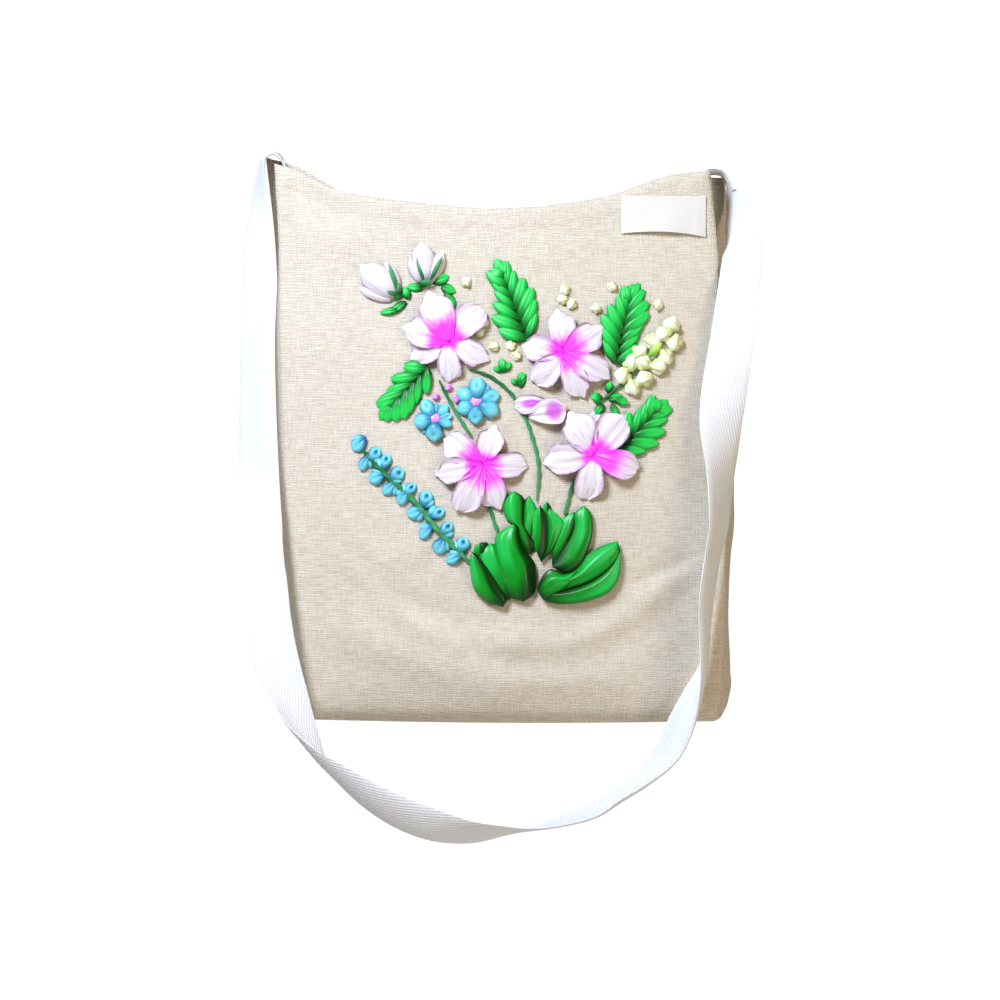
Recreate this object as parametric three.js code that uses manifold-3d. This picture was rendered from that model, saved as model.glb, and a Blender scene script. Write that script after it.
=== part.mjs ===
// A jute shoulder bag hung by its two top corners, with a webbing strap that falls in a loop in
// front of it and a spray of ribbon flowers sewn on its front.
// Millimetres, +Z up, the embroidered front facing -Y. The origin lies midway between the two
// hanging corners, at their height and at the middle of the bag's depth.

import * as THREE from "three";
import { mergeVertices } from "three/addons/utils/BufferGeometryUtils.js";
import Module from "manifold-3d";

const wasm = await Module();
wasm.setup();

const mix = THREE.MathUtils.lerp;
const toRadians = THREE.MathUtils.degToRad;

// Cloth of the bag
const BAG_HEIGHT = 370;
const CLOTH_WALL = 2;
const SEAM_GAP = 0.3;
const BASE_SAG = 1.5;
const LEFT_RIM_DIP = 3;
const RIGHT_RIM_DIP = 1.8;
const CROWN_POWER = 2.6;

// Webbing of the strap
const STRAP_WIDTH = 30;
const STRAP_WALL = 1.8;
const STRAP_STEPS_PER_ROW = 3;

// Blank cloth label sewn along its top edge, its lower edge standing off the front
const LABEL_LEFT = 80;
const LABEL_WIDTH = 56;
const LABEL_TOP = -22;
const LABEL_HEIGHT = 25;
const LABEL_WALL = 0.8;
const LABEL_STANDS_OFF = 3;

// Ribbon embroidery
const RIBBON_GAP = 0.6;
const RIBBON_CLEARANCE = 0.5;
const RIBBON_EDGE_SHARE = 0.4;
const STEM_RADIUS = 1.1;
const STEM_SIDES = 6;
const STEM_STEPS = 14;

// Facets of the cloth pieces
const FRONT_COLUMNS = 22;
const FRONT_ROWS = 24;
const BACK_COLUMNS = 14;
const BACK_ROWS = 16;
const GUSSET_COLUMNS = 6;
const GUSSET_ROWS = 18;
const LABEL_COLUMNS = 8;
const LABEL_ROWS = 3;

// Rounds of the search for a place on the front given in millimetres
const SEARCH_PASSES = 12;

// Level sections of the front panel, from the rim (down 0) to the base (down 1): where it meets the
// two gussets, how far these seams stand from the middle of the bag's depth, and how far the panel
// bellies out between them.
const FRONT_SECTIONS = [
  { down: 0.0, left: -151, right: 139, depth: 23, belly: 4 },
  { down: 0.15, left: -148, right: 144, depth: 25, belly: 7 },
  { down: 0.35, left: -147, right: 148, depth: 28, belly: 10 },
  { down: 0.6, left: -143, right: 150, depth: 31, belly: 13 },
  { down: 0.8, left: -136, right: 149, depth: 34, belly: 12 },
  { down: 0.93, left: -130, right: 147, depth: 35, belly: 8 },
  { down: 0.975, left: -127, right: 145, depth: 34, belly: 5 },
  { down: 1.0, left: -124, right: 142, depth: 29, belly: 2 },
];

// The same for the back panel, which hangs flatter and so reaches a little wider.
const BACK_SECTIONS = [
  { down: 0.0, left: -161, right: 148.5, depth: 23, belly: 2 },
  { down: 0.15, left: -155, right: 152.5, depth: 24, belly: 3 },
  { down: 0.35, left: -152, right: 154, depth: 26, belly: 4 },
  { down: 0.6, left: -149, right: 154.5, depth: 29, belly: 5 },
  { down: 0.8, left: -145, right: 151, depth: 32, belly: 5 },
  { down: 0.93, left: -139, right: 152, depth: 33, belly: 4 },
  { down: 0.975, left: -136, right: 151, depth: 32, belly: 3 },
  { down: 1.0, left: -131, right: 147, depth: 30, belly: 2 },
];

// How far the side gussets bulge out between their seams. Near the rim they fold inwards.
const GUSSET_BULGES = [
  { down: 0.0, left: -6, right: -6 },
  { down: 0.08, left: -5, right: -6 },
  { down: 0.17, left: -1, right: -4 },
  { down: 0.32, left: 3, right: 1.5 },
  { down: 0.55, left: 3.5, right: 2 },
  { down: 0.8, left: 2.5, right: 1 },
  { down: 0.93, left: 2, right: 2.5 },
  { down: 1.0, left: 0, right: 1 },
];

// Height of the rim across each panel: it hangs from its corners and sags between them.
const FRONT_RIM = [
  { across: 0.0, height: 0 },
  { across: 0.05, height: -4 },
  { across: 0.09, height: -10 },
  { across: 0.15, height: -18 },
  { across: 0.3, height: -25 },
  { across: 0.52, height: -30 },
  { across: 0.75, height: -23 },
  { across: 0.9, height: -9 },
  { across: 1.0, height: -5 },
];
const BACK_RIM = [
  { across: 0.0, height: 6 },
  { across: 0.06, height: 1 },
  { across: 0.12, height: -9 },
  { across: 0.18, height: -19 },
  { across: 0.3, height: -27 },
  { across: 0.52, height: -32 },
  { across: 0.8, height: -25 },
  { across: 0.95, height: -12 },
  { across: 1.0, height: -8 },
];

// Swags, the soft folds that hang in a U between the corners: the lowest point, how far the ends
// rise above it, half the span, the width of the ridge and how far it stands out.
const SWAGS = [
  { across: 12, height: -318, rise: 58, halfSpan: 125, width: 10, out: 4.6 },
  { across: 34, height: -342, rise: 50, halfSpan: 110, width: 9, out: 1.4 },
  { across: -70, height: -262, rise: 70, halfSpan: 55, width: 10, out: 1.5 },
];

// The strap's route from its end sewn inside the left gusset, over the rim, down the left side,
// round the loop and back up over the rim to its end inside the right gusset. twist is the angle
// of the webbing about its route, 0 where its width lies along the bag's depth.
const STRAP_ROUTE = [
  { x: -145.4, y: 5, z: -33, twist: -4 },
  { x: -145.8, y: 5, z: -16, twist: -5 },
  { x: -146.6, y: 5, z: -2, twist: -6 },
  { x: -150, y: 4.5, z: 6, twist: 0 },
  { x: -155.5, y: 4, z: 8.2, twist: 6 },
  { x: -161.4, y: 3.5, z: 2.2, twist: 11 },
  { x: -163.2, y: 1, z: -24, twist: 27 },
  { x: -164, y: -8, z: -50, twist: 39 },
  { x: -164, y: -16, z: -92, twist: 42 },
  { x: -164.5, y: -22, z: -137, twist: 43 },
  { x: -164, y: -28, z: -178, twist: 46 },
  { x: -161, y: -35, z: -211, twist: 58 },
  { x: -158, y: -42, z: -245, twist: 72 },
  { x: -154, y: -48, z: -284, twist: 78 },
  { x: -147.5, y: -53, z: -326, twist: 94 },
  { x: -137, y: -58, z: -362, twist: 126 },
  { x: -129, y: -61, z: -379, twist: 150 },
  { x: -118, y: -64, z: -394, twist: 178 },
  { x: -102, y: -66, z: -407, twist: 203 },
  { x: -84, y: -67, z: -419, twist: 219 },
  { x: -64, y: -67, z: -429, twist: 228 },
  { x: -41, y: -67, z: -437, twist: 228 },
  { x: -19, y: -66, z: -441, twist: 215 },
  { x: 2, y: -66, z: -440, twist: 198 },
  { x: 22, y: -65, z: -438, twist: 184 },
  { x: 44, y: -64, z: -433, twist: 173 },
  { x: 64, y: -63, z: -426, twist: 168 },
  { x: 79, y: -62, z: -416, twist: 169 },
  { x: 95, y: -61, z: -404, twist: 159 },
  { x: 111, y: -60, z: -388, twist: 144 },
  { x: 120, y: -59, z: -369, twist: 140 },
  { x: 127, y: -58, z: -350, twist: 156 },
  { x: 133, y: -57, z: -329, twist: 180 },
  { x: 136, y: -55, z: -293, twist: 196 },
  { x: 141, y: -52, z: -259, twist: 200 },
  { x: 145, y: -49, z: -238, twist: 205 },
  { x: 146, y: -45, z: -206, twist: 217 },
  { x: 146, y: -41, z: -174, twist: 246 },
  { x: 148.6, y: -40, z: -150, twist: 270 },
  { x: 153.4, y: -42, z: -117, twist: 288 },
  { x: 157.6, y: -38, z: -83, twist: 297 },
  { x: 160, y: -24, z: -55, twist: 304 },
  { x: 155.6, y: -9, z: -37, twist: 325 },
  { x: 153, y: 1.5, z: -23, twist: 344 },
  { x: 151.4, y: 2.6, z: -13.6, twist: 354 },
  { x: 146.6, y: 2.6, z: -6, twist: 356 },
  { x: 137.8, y: 3.4, z: -5.2, twist: 355 },
  { x: 131.4, y: 4.5, z: -12.4, twist: 355 },
  { x: 131.4, y: 5, z: -27, twist: 357 },
  { x: 132.2, y: 5, z: -42, twist: 358 },
];

// Kinds of ribbon work: how far they stand out, the lobes round the outline and how deep it is cut
// between them, the facets round the edge, and the finish.
const RIBBON_KINDS = {
  six_petals: { out: 5, lobes: 6, notch: 0.42, spokes: 36, finish: "petal" },
  five_petals: { out: 5, lobes: 5, notch: 0.42, spokes: 35, finish: "petal" },
  bud: { out: 6, lobes: 0, notch: 0, spokes: 14, finish: "petal" },
  blue_flower: { out: 4, lobes: 6, notch: 0.25, spokes: 24, finish: "blue" },
  blue_spike: { out: 4, lobes: 14, notch: 0.12, spokes: 42, finish: "blue" },
  cream_spray: { out: 4, lobes: 8, notch: 0.15, spokes: 24, finish: "cream" },
  cream_knot: { out: 3, lobes: 0, notch: 0, spokes: 10, finish: "cream" },
  pink_knot: { out: 3, lobes: 0, notch: 0, spokes: 8, finish: "pink" },
  broad_leaf: { out: 6, lobes: 0, notch: 0, spokes: 18, finish: "leaf" },
  fishbone_leaf: { out: 4, lobes: 12, notch: 0.08, spokes: 24, finish: "leaf" },
  frilled_leaf: { out: 3, lobes: 4, notch: 0.2, spokes: 16, finish: "leaf" },
  small_leaf: { out: 3, lobes: 0, notch: 0, spokes: 10, finish: "leaf" },
};

// Ribbon work, the uppermost piece first: the middle of each piece on the front, the direction of
// its long axis, its length and its width. Each piece is tucked under those before it.
const RIBBON_PIECES = [
  { name: "flower_upper_left", kind: "six_petals", x: -34, z: -113, turn: 47, length: 62, width: 62 },
  { name: "flower_upper_right", kind: "six_petals", x: 43, z: -126, turn: 37, length: 60, width: 60 },
  { name: "flower_lower_left", kind: "six_petals", x: -11, z: -200, turn: 10, length: 62, width: 62 },
  { name: "flower_lower_right", kind: "five_petals", x: 63, z: -193, turn: -20, length: 62, width: 62 },
  { name: "half_open_flower", kind: "bud", x: 31, z: -162, turn: 0, length: 30, width: 19 },
  { name: "bud_left", kind: "bud", x: -81, z: -77, turn: 145, length: 32, width: 25 },
  { name: "bud_right", kind: "bud", x: -49, z: -66, turn: 88, length: 30, width: 27 },
  { name: "blue_flower_left", kind: "blue_flower", x: -43, z: -170, turn: 20, length: 27, width: 25 },
  { name: "blue_flower_right", kind: "blue_flower", x: -14, z: -157, turn: 40, length: 29, width: 27 },
  { name: "blue_spike", kind: "blue_spike", x: -60, z: -226.5, turn: -47, length: 106, width: 21 },
  { name: "cream_spray", kind: "cream_spray", x: 96, z: -127, turn: 48, length: 56, width: 22 },
  { name: "cream_knots_top", kind: "cream_knot", x: 44, z: -89, turn: -20, length: 14, width: 11 },
  { name: "cream_knot_upper_right", kind: "cream_knot", x: 63.5, z: -96.5, turn: 0, length: 6, width: 5 },
  { name: "cream_knot_by_leaf", kind: "cream_knot", x: 74, z: -82, turn: 0, length: 6, width: 5 },
  { name: "cream_knot_far_right", kind: "cream_knot", x: 104.5, z: -94, turn: 0, length: 6, width: 5 },
  { name: "cream_knot_upper_left", kind: "cream_knot", x: -22.5, z: -79, turn: 0, length: 6, width: 5 },
  { name: "cream_knots_middle", kind: "cream_knot", x: -5, z: -106, turn: 60, length: 10, width: 6 },
  { name: "cream_knots_lower", kind: "cream_knot", x: 6, z: -123, turn: -25, length: 16, width: 8 },
  { name: "pink_knot_top", kind: "pink_knot", x: -33.7, z: -149, turn: 0, length: 6, width: 5 },
  { name: "pink_knot_left", kind: "pink_knot", x: -42, z: -154.5, turn: 0, length: 6, width: 5 },
  { name: "base_leaf_1", kind: "broad_leaf", x: -8, z: -272, turn: 115, length: 47, width: 23 },
  { name: "base_leaf_2", kind: "broad_leaf", x: 10, z: -263, turn: 92, length: 48, width: 20 },
  { name: "base_leaf_6", kind: "broad_leaf", x: 41, z: -277, turn: 27, length: 32, width: 14 },
  { name: "base_leaf_7", kind: "broad_leaf", x: 60, z: -270, turn: 41, length: 52, width: 25 },
  { name: "base_leaf_5", kind: "broad_leaf", x: 50, z: -246, turn: 68, length: 42, width: 20 },
  { name: "base_leaf_4", kind: "broad_leaf", x: 31, z: -244, turn: 95, length: 40, width: 18 },
  { name: "base_leaf_3", kind: "broad_leaf", x: 17, z: -238, turn: 104, length: 42, width: 18 },
  { name: "leaf_top", kind: "fishbone_leaf", x: 7, z: -90, turn: 111, length: 58, width: 28 },
  { name: "leaf_right_upper", kind: "fishbone_leaf", x: 83, z: -107, turn: 77, length: 55, width: 28 },
  { name: "leaf_right_lower", kind: "fishbone_leaf", x: 95, z: -174, turn: 45, length: 46, width: 25 },
  { name: "leaf_left", kind: "fishbone_leaf", x: -63, z: -152, turn: 46, length: 46, width: 24 },
  { name: "spray_leaves", kind: "frilled_leaf", x: 70, z: -157, turn: 10, length: 19, width: 12 },
  { name: "bud_leaves_left", kind: "small_leaf", x: -68, z: -93, turn: 30, length: 18, width: 11 },
  { name: "bud_leaves_right", kind: "small_leaf", x: -35.5, z: -82, turn: -70, length: 21, width: 10 },
  { name: "bud_leaf_middle", kind: "small_leaf", x: -54, z: -83.5, turn: 10, length: 12, width: 6 },
  { name: "stem_leaf_upper", kind: "small_leaf", x: 2.5, z: -136, turn: -60, length: 10, width: 5 },
  { name: "stem_leaf_lower", kind: "small_leaf", x: 12, z: -144.5, turn: 80, length: 11, width: 5 },
];

// Stems of twisted ribbon, as points on the front.
const STEMS = [
  { name: "stem_left", route: [[-40, -144], [-30, -163], [-18, -182]] },
  {
    name: "stem_middle",
    route: [[-20, -137], [-7, -141], [7, -152], [14, -163], [20, -176], [26, -200], [25, -224]],
  },
  { name: "stem_lower_left", route: [[-7, -225], [-4, -235], [0, -247]] },
  { name: "stem_lower_right", route: [[49, -210], [46, -222], [43, -233]] },
];

const FINISHES = {
  jute: { color: 0xd8cdb8, roughness: 0.95, metalness: 0 },
  webbing: { color: 0xf2f4f4, roughness: 0.85, metalness: 0 },
  label: { color: 0xf7f5ef, roughness: 0.9, metalness: 0 },
  petal: { color: 0xf3e3f4, roughness: 0.5, metalness: 0 },
  blue: { color: 0x5cc0e6, roughness: 0.4, metalness: 0 },
  cream: { color: 0xf3f2b8, roughness: 0.5, metalness: 0 },
  pink: { color: 0xe65ad2, roughness: 0.5, metalness: 0 },
  leaf: { color: 0x0a9a3c, roughness: 0.35, metalness: 0 },
  stem: { color: 0x1e7846, roughness: 0.5, metalness: 0 },
};

// Smooth value of one column of a table, at a place along another column.
function valueAt(rows, placeColumn, column, place) {
  const last = rows.length - 1;
  const found = rows.findIndex((row, i) => i < last && place <= rows[i + 1][placeColumn]);
  const start = found < 0 ? last - 1 : found;
  const slopeAt = (i) => {
    const before = rows[Math.max(i - 1, 0)];
    const after = rows[Math.min(i + 1, last)];
    return (after[column] - before[column]) / (after[placeColumn] - before[placeColumn]);
  };
  const from = rows[start];
  const to = rows[start + 1];
  const span = to[placeColumn] - from[placeColumn];
  const t = (place - from[placeColumn]) / span;
  const ease = t * t * (3 - 2 * t);
  const leaving = t * (1 - t) * (1 - t) * span * slopeAt(start);
  const arriving = t * t * (1 - t) * span * slopeAt(start + 1);
  return mix(from[column], to[column], ease) + leaving - arriving;
}

// How far a panel bellies out at a place across it: nothing at its seams, all of it at the middle.
function crown(across) {
  return 1 - Math.abs(2 * across - 1) ** CROWN_POWER;
}

function baseHeight(across) {
  return -BAG_HEIGHT - BASE_SAG * Math.sin(Math.PI * across);
}

// How far the swags stand out of the front at one place.
function swagAt(x, z) {
  let out = 0;
  for (const swag of SWAGS) {
    const along = (x - swag.across) / swag.halfSpan;
    if (Math.abs(along) < 1) {
      const away = (z - swag.height - swag.rise * along * along) / swag.width;
      out += swag.out * Math.exp(-away * away) * (1 - along ** 4);
    }
  }
  return out;
}

// Point of a panel without its belly, at shares across and down it.
function panelPoint(sections, rim, across, down) {
  const left = valueAt(sections, "down", "left", down);
  const right = valueAt(sections, "down", "right", down);
  const depth = valueAt(sections, "down", "depth", down);
  const rimHeight = valueAt(rim, "across", "height", across);
  return new THREE.Vector3(mix(left, right, across), depth, mix(rimHeight, baseHeight(across), down));
}

function frontPoint(across, down) {
  const { x, y, z } = panelPoint(FRONT_SECTIONS, FRONT_RIM, across, down);
  const belly = valueAt(FRONT_SECTIONS, "down", "belly", down) + swagAt(x, z);
  return new THREE.Vector3(x, -y - belly * crown(across), z);
}

function backPoint(across, down) {
  const { x, y, z } = panelPoint(BACK_SECTIONS, BACK_RIM, across, down);
  const belly = valueAt(BACK_SECTIONS, "down", "belly", down);
  return new THREE.Vector3(x, y + belly * crown(across), z);
}

// Outer face of a side gusset: side 0 is the left one, side 1 the right one, and across runs from
// the front seam to the back seam. Its rim dips a little between them.
function gussetPoint(side, across, down) {
  const front = frontPoint(side, down);
  const back = backPoint(side, down);
  const inset = CLOTH_WALL + SEAM_GAP;
  const arch = Math.sin(Math.PI * across);
  const leftBulge = -valueAt(GUSSET_BULGES, "down", "left", down);
  const bulge = side === 0 ? leftBulge : valueAt(GUSSET_BULGES, "down", "right", down);
  const rimDip = mix(LEFT_RIM_DIP, RIGHT_RIM_DIP, side);
  return new THREE.Vector3(
    mix(front.x, back.x, across) + bulge * arch,
    mix(front.y + inset, back.y - inset, across),
    mix(front.z, back.z, across) - rimDip * arch * (1 - down),
  );
}

// Underside of the base, fitted inside the panels and gussets.
function basePoint(across, depth) {
  const inset = CLOTH_WALL + SEAM_GAP;
  const left = gussetPoint(0, depth, 1).x + inset;
  const right = gussetPoint(1, depth, 1).x - inset;
  const front = frontPoint(across, 1).y + inset;
  const back = backPoint(across, 1).y - inset;
  return new THREE.Vector3(mix(left, right, across), mix(front, back, depth), baseHeight(across));
}

// Point of the front's face at a place given in millimetres, standing off it by lift.
function onFront(x, z, lift) {
  let across = 0.5;
  let down = 0.5;
  for (let pass = 0; pass < SEARCH_PASSES; pass += 1) {
    const rim = valueAt(FRONT_RIM, "across", "height", across);
    down = THREE.MathUtils.clamp((rim - z) / (rim - baseHeight(across)), 0, 1);
    const left = valueAt(FRONT_SECTIONS, "down", "left", down);
    const right = valueAt(FRONT_SECTIONS, "down", "right", down);
    across = THREE.MathUtils.clamp((x - left) / (right - left), 0, 1);
  }
  return new THREE.Vector3(x, frontPoint(across, down).y - lift, z);
}

// Closed geometry from points and triangles, with its faces turned outwards.
function closedGeometry(points, triangles) {
  let volume = 0;
  for (const [a, b, c] of triangles) {
    volume += points[a].dot(new THREE.Vector3().crossVectors(points[b], points[c]));
  }
  const outward = volume > 0 ? triangles : triangles.map(([a, b, c]) => [a, c, b]);
  const geometry = new THREE.BufferGeometry().setFromPoints(points);
  geometry.setIndex(outward.flat());
  return geometry;
}

// Two faces of a sheet over the same grid, closed round their edges.
function sheetGeometry(outerPoint, innerPoint, columns, rows) {
  const points = [];
  const triangles = [];
  for (const pointAt of [outerPoint, innerPoint]) {
    for (let row = 0; row <= rows; row += 1) {
      for (let column = 0; column <= columns; column += 1) {
        points.push(pointAt(column / columns, row / rows));
      }
    }
  }
  const inner = (columns + 1) * (rows + 1);
  const at = (column, row) => row * (columns + 1) + column;
  const quad = (a, b, c, d) => triangles.push([a, b, c], [a, c, d]);
  for (let row = 0; row < rows; row += 1) {
    for (let column = 0; column < columns; column += 1) {
      const corners = [at(column, row), at(column + 1, row), at(column + 1, row + 1), at(column, row + 1)];
      quad(...corners);
      quad(...corners.map((corner) => corner + inner).reverse());
    }
  }
  const edge = [];
  for (let column = 0; column < columns; column += 1) edge.push(at(column, 0));
  for (let row = 0; row < rows; row += 1) edge.push(at(columns, row));
  for (let column = columns; column > 0; column -= 1) edge.push(at(column, rows));
  for (let row = rows; row > 0; row -= 1) edge.push(at(0, row));
  edge.forEach((corner, i) => {
    const next = edge[(i + 1) % edge.length];
    quad(next, corner, corner + inner, next + inner);
  });
  return closedGeometry(points, triangles);
}

const frontPanel = () => sheetGeometry(
  frontPoint,
  (across, down) => frontPoint(across, down).add(new THREE.Vector3(0, CLOTH_WALL, 0)),
  FRONT_COLUMNS,
  FRONT_ROWS,
);

const backPanel = () => sheetGeometry(
  backPoint,
  (across, down) => backPoint(across, down).add(new THREE.Vector3(0, -CLOTH_WALL, 0)),
  BACK_COLUMNS,
  BACK_ROWS,
);

function sideGusset(side) {
  const inward = side === 0 ? CLOTH_WALL : -CLOTH_WALL;
  return sheetGeometry(
    (across, down) => gussetPoint(side, across, down),
    (across, down) => gussetPoint(side, across, down).add(new THREE.Vector3(inward, 0, 0)),
    GUSSET_COLUMNS,
    GUSSET_ROWS,
  );
}

const baseGusset = () => sheetGeometry(
  basePoint,
  (across, depth) => basePoint(across, depth).add(new THREE.Vector3(0, 0, CLOTH_WALL)),
  BACK_COLUMNS,
  GUSSET_COLUMNS,
);

function label() {
  const facePoint = (across, down, wall) => onFront(
    LABEL_LEFT + LABEL_WIDTH * across,
    LABEL_TOP - LABEL_HEIGHT * down,
    RIBBON_GAP + wall + LABEL_STANDS_OFF * down * down * Math.sin(Math.PI * across),
  );
  return sheetGeometry(
    (across, down) => facePoint(across, down, LABEL_WALL),
    (across, down) => facePoint(across, down, 0),
    LABEL_COLUMNS,
    LABEL_ROWS,
  );
}

// Flat webbing swept along its route and turned about it by the twist of each row.
function strap() {
  const middleLine = STRAP_ROUTE.map((row) => new THREE.Vector3(row.x, row.y, row.z));
  const route = new THREE.CatmullRomCurve3(middleLine);
  const rows = STRAP_ROUTE.map((row, place) => ({ ...row, place }));
  const intervals = rows.length - 1;
  const steps = intervals * STRAP_STEPS_PER_ROW;
  const corners = [[-1, -1], [1, -1], [1, 1], [-1, 1]];
  const points = [];
  const triangles = [];
  for (let step = 0; step <= steps; step += 1) {
    const t = step / steps;
    const middle = route.getPoint(t);
    const forward = route.getTangent(t);
    const depth = new THREE.Vector3(0, 1, 0).addScaledVector(forward, -forward.y).normalize();
    const outward = new THREE.Vector3().crossVectors(depth, forward);
    const twist = toRadians(valueAt(rows, "place", "twist", t * intervals));
    const width = depth.multiplyScalar(Math.cos(twist)).addScaledVector(outward, Math.sin(twist));
    const face = new THREE.Vector3().crossVectors(forward, width);
    for (const [side, layer] of corners) {
      const point = middle.clone().addScaledVector(width, side * STRAP_WIDTH / 2);
      points.push(point.addScaledVector(face, layer * STRAP_WALL / 2));
    }
  }
  const sides = corners.length;
  for (let step = 0; step < steps; step += 1) {
    for (let side = 0; side < sides; side += 1) {
      const a = step * sides + side;
      const b = step * sides + (side + 1) % sides;
      triangles.push([a, b, b + sides], [a, b + sides, a + sides]);
    }
  }
  const end = steps * sides;
  triangles.push([0, 2, 1], [0, 3, 2], [end, end + 1, end + 2], [end, end + 2, end + 3]);
  return closedGeometry(points, triangles);
}

// Domed piece of ribbon work lying on the front, its outline an oval cut in by its lobes.
// grow widens it all round, for the room that it takes from the pieces under it.
function ribbonGeometry(piece, grow) {
  const ringShares = [0.5, 1];
  const halfLength = piece.length / 2;
  const halfWidth = piece.width / 2;
  const turn = toRadians(piece.turn);
  const points = [];
  const triangles = [];
  const outlineAt = (angle) => {
    const rounded = Math.hypot(halfWidth * Math.cos(angle), halfLength * Math.sin(angle));
    const cut = piece.notch * (1 - Math.cos(piece.lobes * angle)) / 2;
    return halfLength * halfWidth / rounded * (1 - cut) + grow;
  };
  const pointAt = (angle, share, lift) => {
    const reach = outlineAt(angle) * share;
    const x = piece.x + reach * Math.cos(angle + turn);
    const z = piece.z + reach * Math.sin(angle + turn);
    return onFront(x, z, lift);
  };
  const domeAt = (share) => mix(1, RIBBON_EDGE_SHARE, share * share) * (piece.out + grow) + RIBBON_GAP;
  const layers = [() => RIBBON_GAP - grow, domeAt];
  for (const liftAt of layers) {
    points.push(pointAt(0, 0, liftAt(0)));
    for (const share of ringShares) {
      for (let spoke = 0; spoke < piece.spokes; spoke += 1) {
        points.push(pointAt(2 * Math.PI * spoke / piece.spokes, share, liftAt(share)));
      }
    }
  }
  const layer = 1 + ringShares.length * piece.spokes;
  for (let spoke = 0; spoke < piece.spokes; spoke += 1) {
    const next = (spoke + 1) % piece.spokes;
    const [a, b] = [1 + spoke, 1 + next];
    const [c, d] = [a + piece.spokes, b + piece.spokes];
    const underside = [[0, a, b], [a, c, d], [a, d, b]];
    triangles.push(...underside);
    triangles.push(...underside.map(([i, j, k]) => [i + layer, k + layer, j + layer]));
    triangles.push([c, c + layer, d + layer], [c, d + layer, d]);
  }
  return closedGeometry(points, triangles);
}

function stemGeometry(stem) {
  const section = new THREE.Shape();
  for (let side = 0; side < STEM_SIDES; side += 1) {
    const angle = 2 * Math.PI * side / STEM_SIDES;
    const corner = new THREE.Vector2(STEM_RADIUS * Math.cos(angle), STEM_RADIUS * Math.sin(angle));
    if (side === 0) section.moveTo(corner.x, corner.y);
    else section.lineTo(corner.x, corner.y);
  }
  const route = stem.route.map(([x, z]) => onFront(x, z, RIBBON_GAP + STEM_RADIUS));
  const extrudePath = new THREE.CatmullRomCurve3(route);
  const sweep = { steps: STEM_STEPS, bevelEnabled: false, extrudePath };
  const geometry = new THREE.ExtrudeGeometry(section, sweep);
  geometry.deleteAttribute("normal");
  geometry.deleteAttribute("uv");
  return mergeVertices(geometry, 1e-3);
}

function solidFrom(geometry) {
  const vertProperties = new Float32Array(geometry.getAttribute("position").array);
  const triVerts = new Uint32Array(geometry.getIndex().array);
  return new wasm.Manifold(new wasm.Mesh({ numProp: 3, vertProperties, triVerts }));
}

function geometryFrom(solid) {
  const mesh = solid.getMesh();
  const geometry = new THREE.BufferGeometry();
  geometry.setAttribute("position", new THREE.BufferAttribute(new Float32Array(mesh.vertProperties), 3));
  geometry.setIndex(new THREE.BufferAttribute(new Uint32Array(mesh.triVerts), 1));
  return geometry;
}

const bag = new THREE.Group();

function addPiece(name, geometry, finish) {
  geometry.computeVertexNormals();
  const mesh = new THREE.Mesh(geometry, new THREE.MeshStandardMaterial(FINISHES[finish]));
  mesh.name = name;
  bag.add(mesh);
}

addPiece("front_panel", frontPanel(), "jute");
addPiece("back_panel", backPanel(), "jute");
addPiece("gusset_left", sideGusset(0), "jute");
addPiece("gusset_right", sideGusset(1), "jute");
addPiece("gusset_base", baseGusset(), "jute");
addPiece("strap", strap(), "webbing");
addPiece("label", label(), "label");

const roomTaken = [];
for (const row of RIBBON_PIECES) {
  const piece = { ...row, ...RIBBON_KINDS[row.kind] };
  const solid = roomTaken.reduce((rest, room) => rest.subtract(room), solidFrom(ribbonGeometry(piece, 0)));
  addPiece(piece.name, geometryFrom(solid), piece.finish);
  roomTaken.push(solidFrom(ribbonGeometry(piece, RIBBON_CLEARANCE)));
}
for (const stem of STEMS) {
  const solid = roomTaken.reduce((rest, room) => rest.subtract(room), solidFrom(stemGeometry(stem)));
  addPiece(stem.name, geometryFrom(solid), "stem");
}

export default bag;
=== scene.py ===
# A jute shoulder bag hung by its two top corners, with its webbing strap fallen in a loop before it
# and a spray of ribbon flowers sewn on the front. Sizes are in millimetres, meshes in metres.
import math
import bpy
import numpy as np
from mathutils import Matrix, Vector


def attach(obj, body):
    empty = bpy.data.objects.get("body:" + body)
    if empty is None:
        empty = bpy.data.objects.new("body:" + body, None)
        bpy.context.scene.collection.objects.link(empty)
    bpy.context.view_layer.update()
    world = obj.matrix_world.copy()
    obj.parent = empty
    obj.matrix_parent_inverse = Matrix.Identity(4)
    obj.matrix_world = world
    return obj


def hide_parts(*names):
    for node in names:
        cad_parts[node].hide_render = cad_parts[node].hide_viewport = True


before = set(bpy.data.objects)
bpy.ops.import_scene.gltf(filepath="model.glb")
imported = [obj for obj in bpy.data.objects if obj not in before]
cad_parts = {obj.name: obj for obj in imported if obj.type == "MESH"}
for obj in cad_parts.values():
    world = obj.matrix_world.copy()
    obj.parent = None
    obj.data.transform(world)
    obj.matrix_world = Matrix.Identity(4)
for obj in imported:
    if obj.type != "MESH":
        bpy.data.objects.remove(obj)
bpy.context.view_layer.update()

# Camera
# A long lens three metres before the bag, a little to its right and above its middle, so the bag
# stays upright and the mouth only just shows behind the front rim.
CAMERA_TURN = math.radians(3)
CAMERA_LIFT = math.radians(1.5)
CAMERA_AWAY = 3.0
CAMERA_AIM = Vector((0.00066, -0.045, -0.223))
FRAME_WIDTH = 0.66
SENSOR = 36

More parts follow.
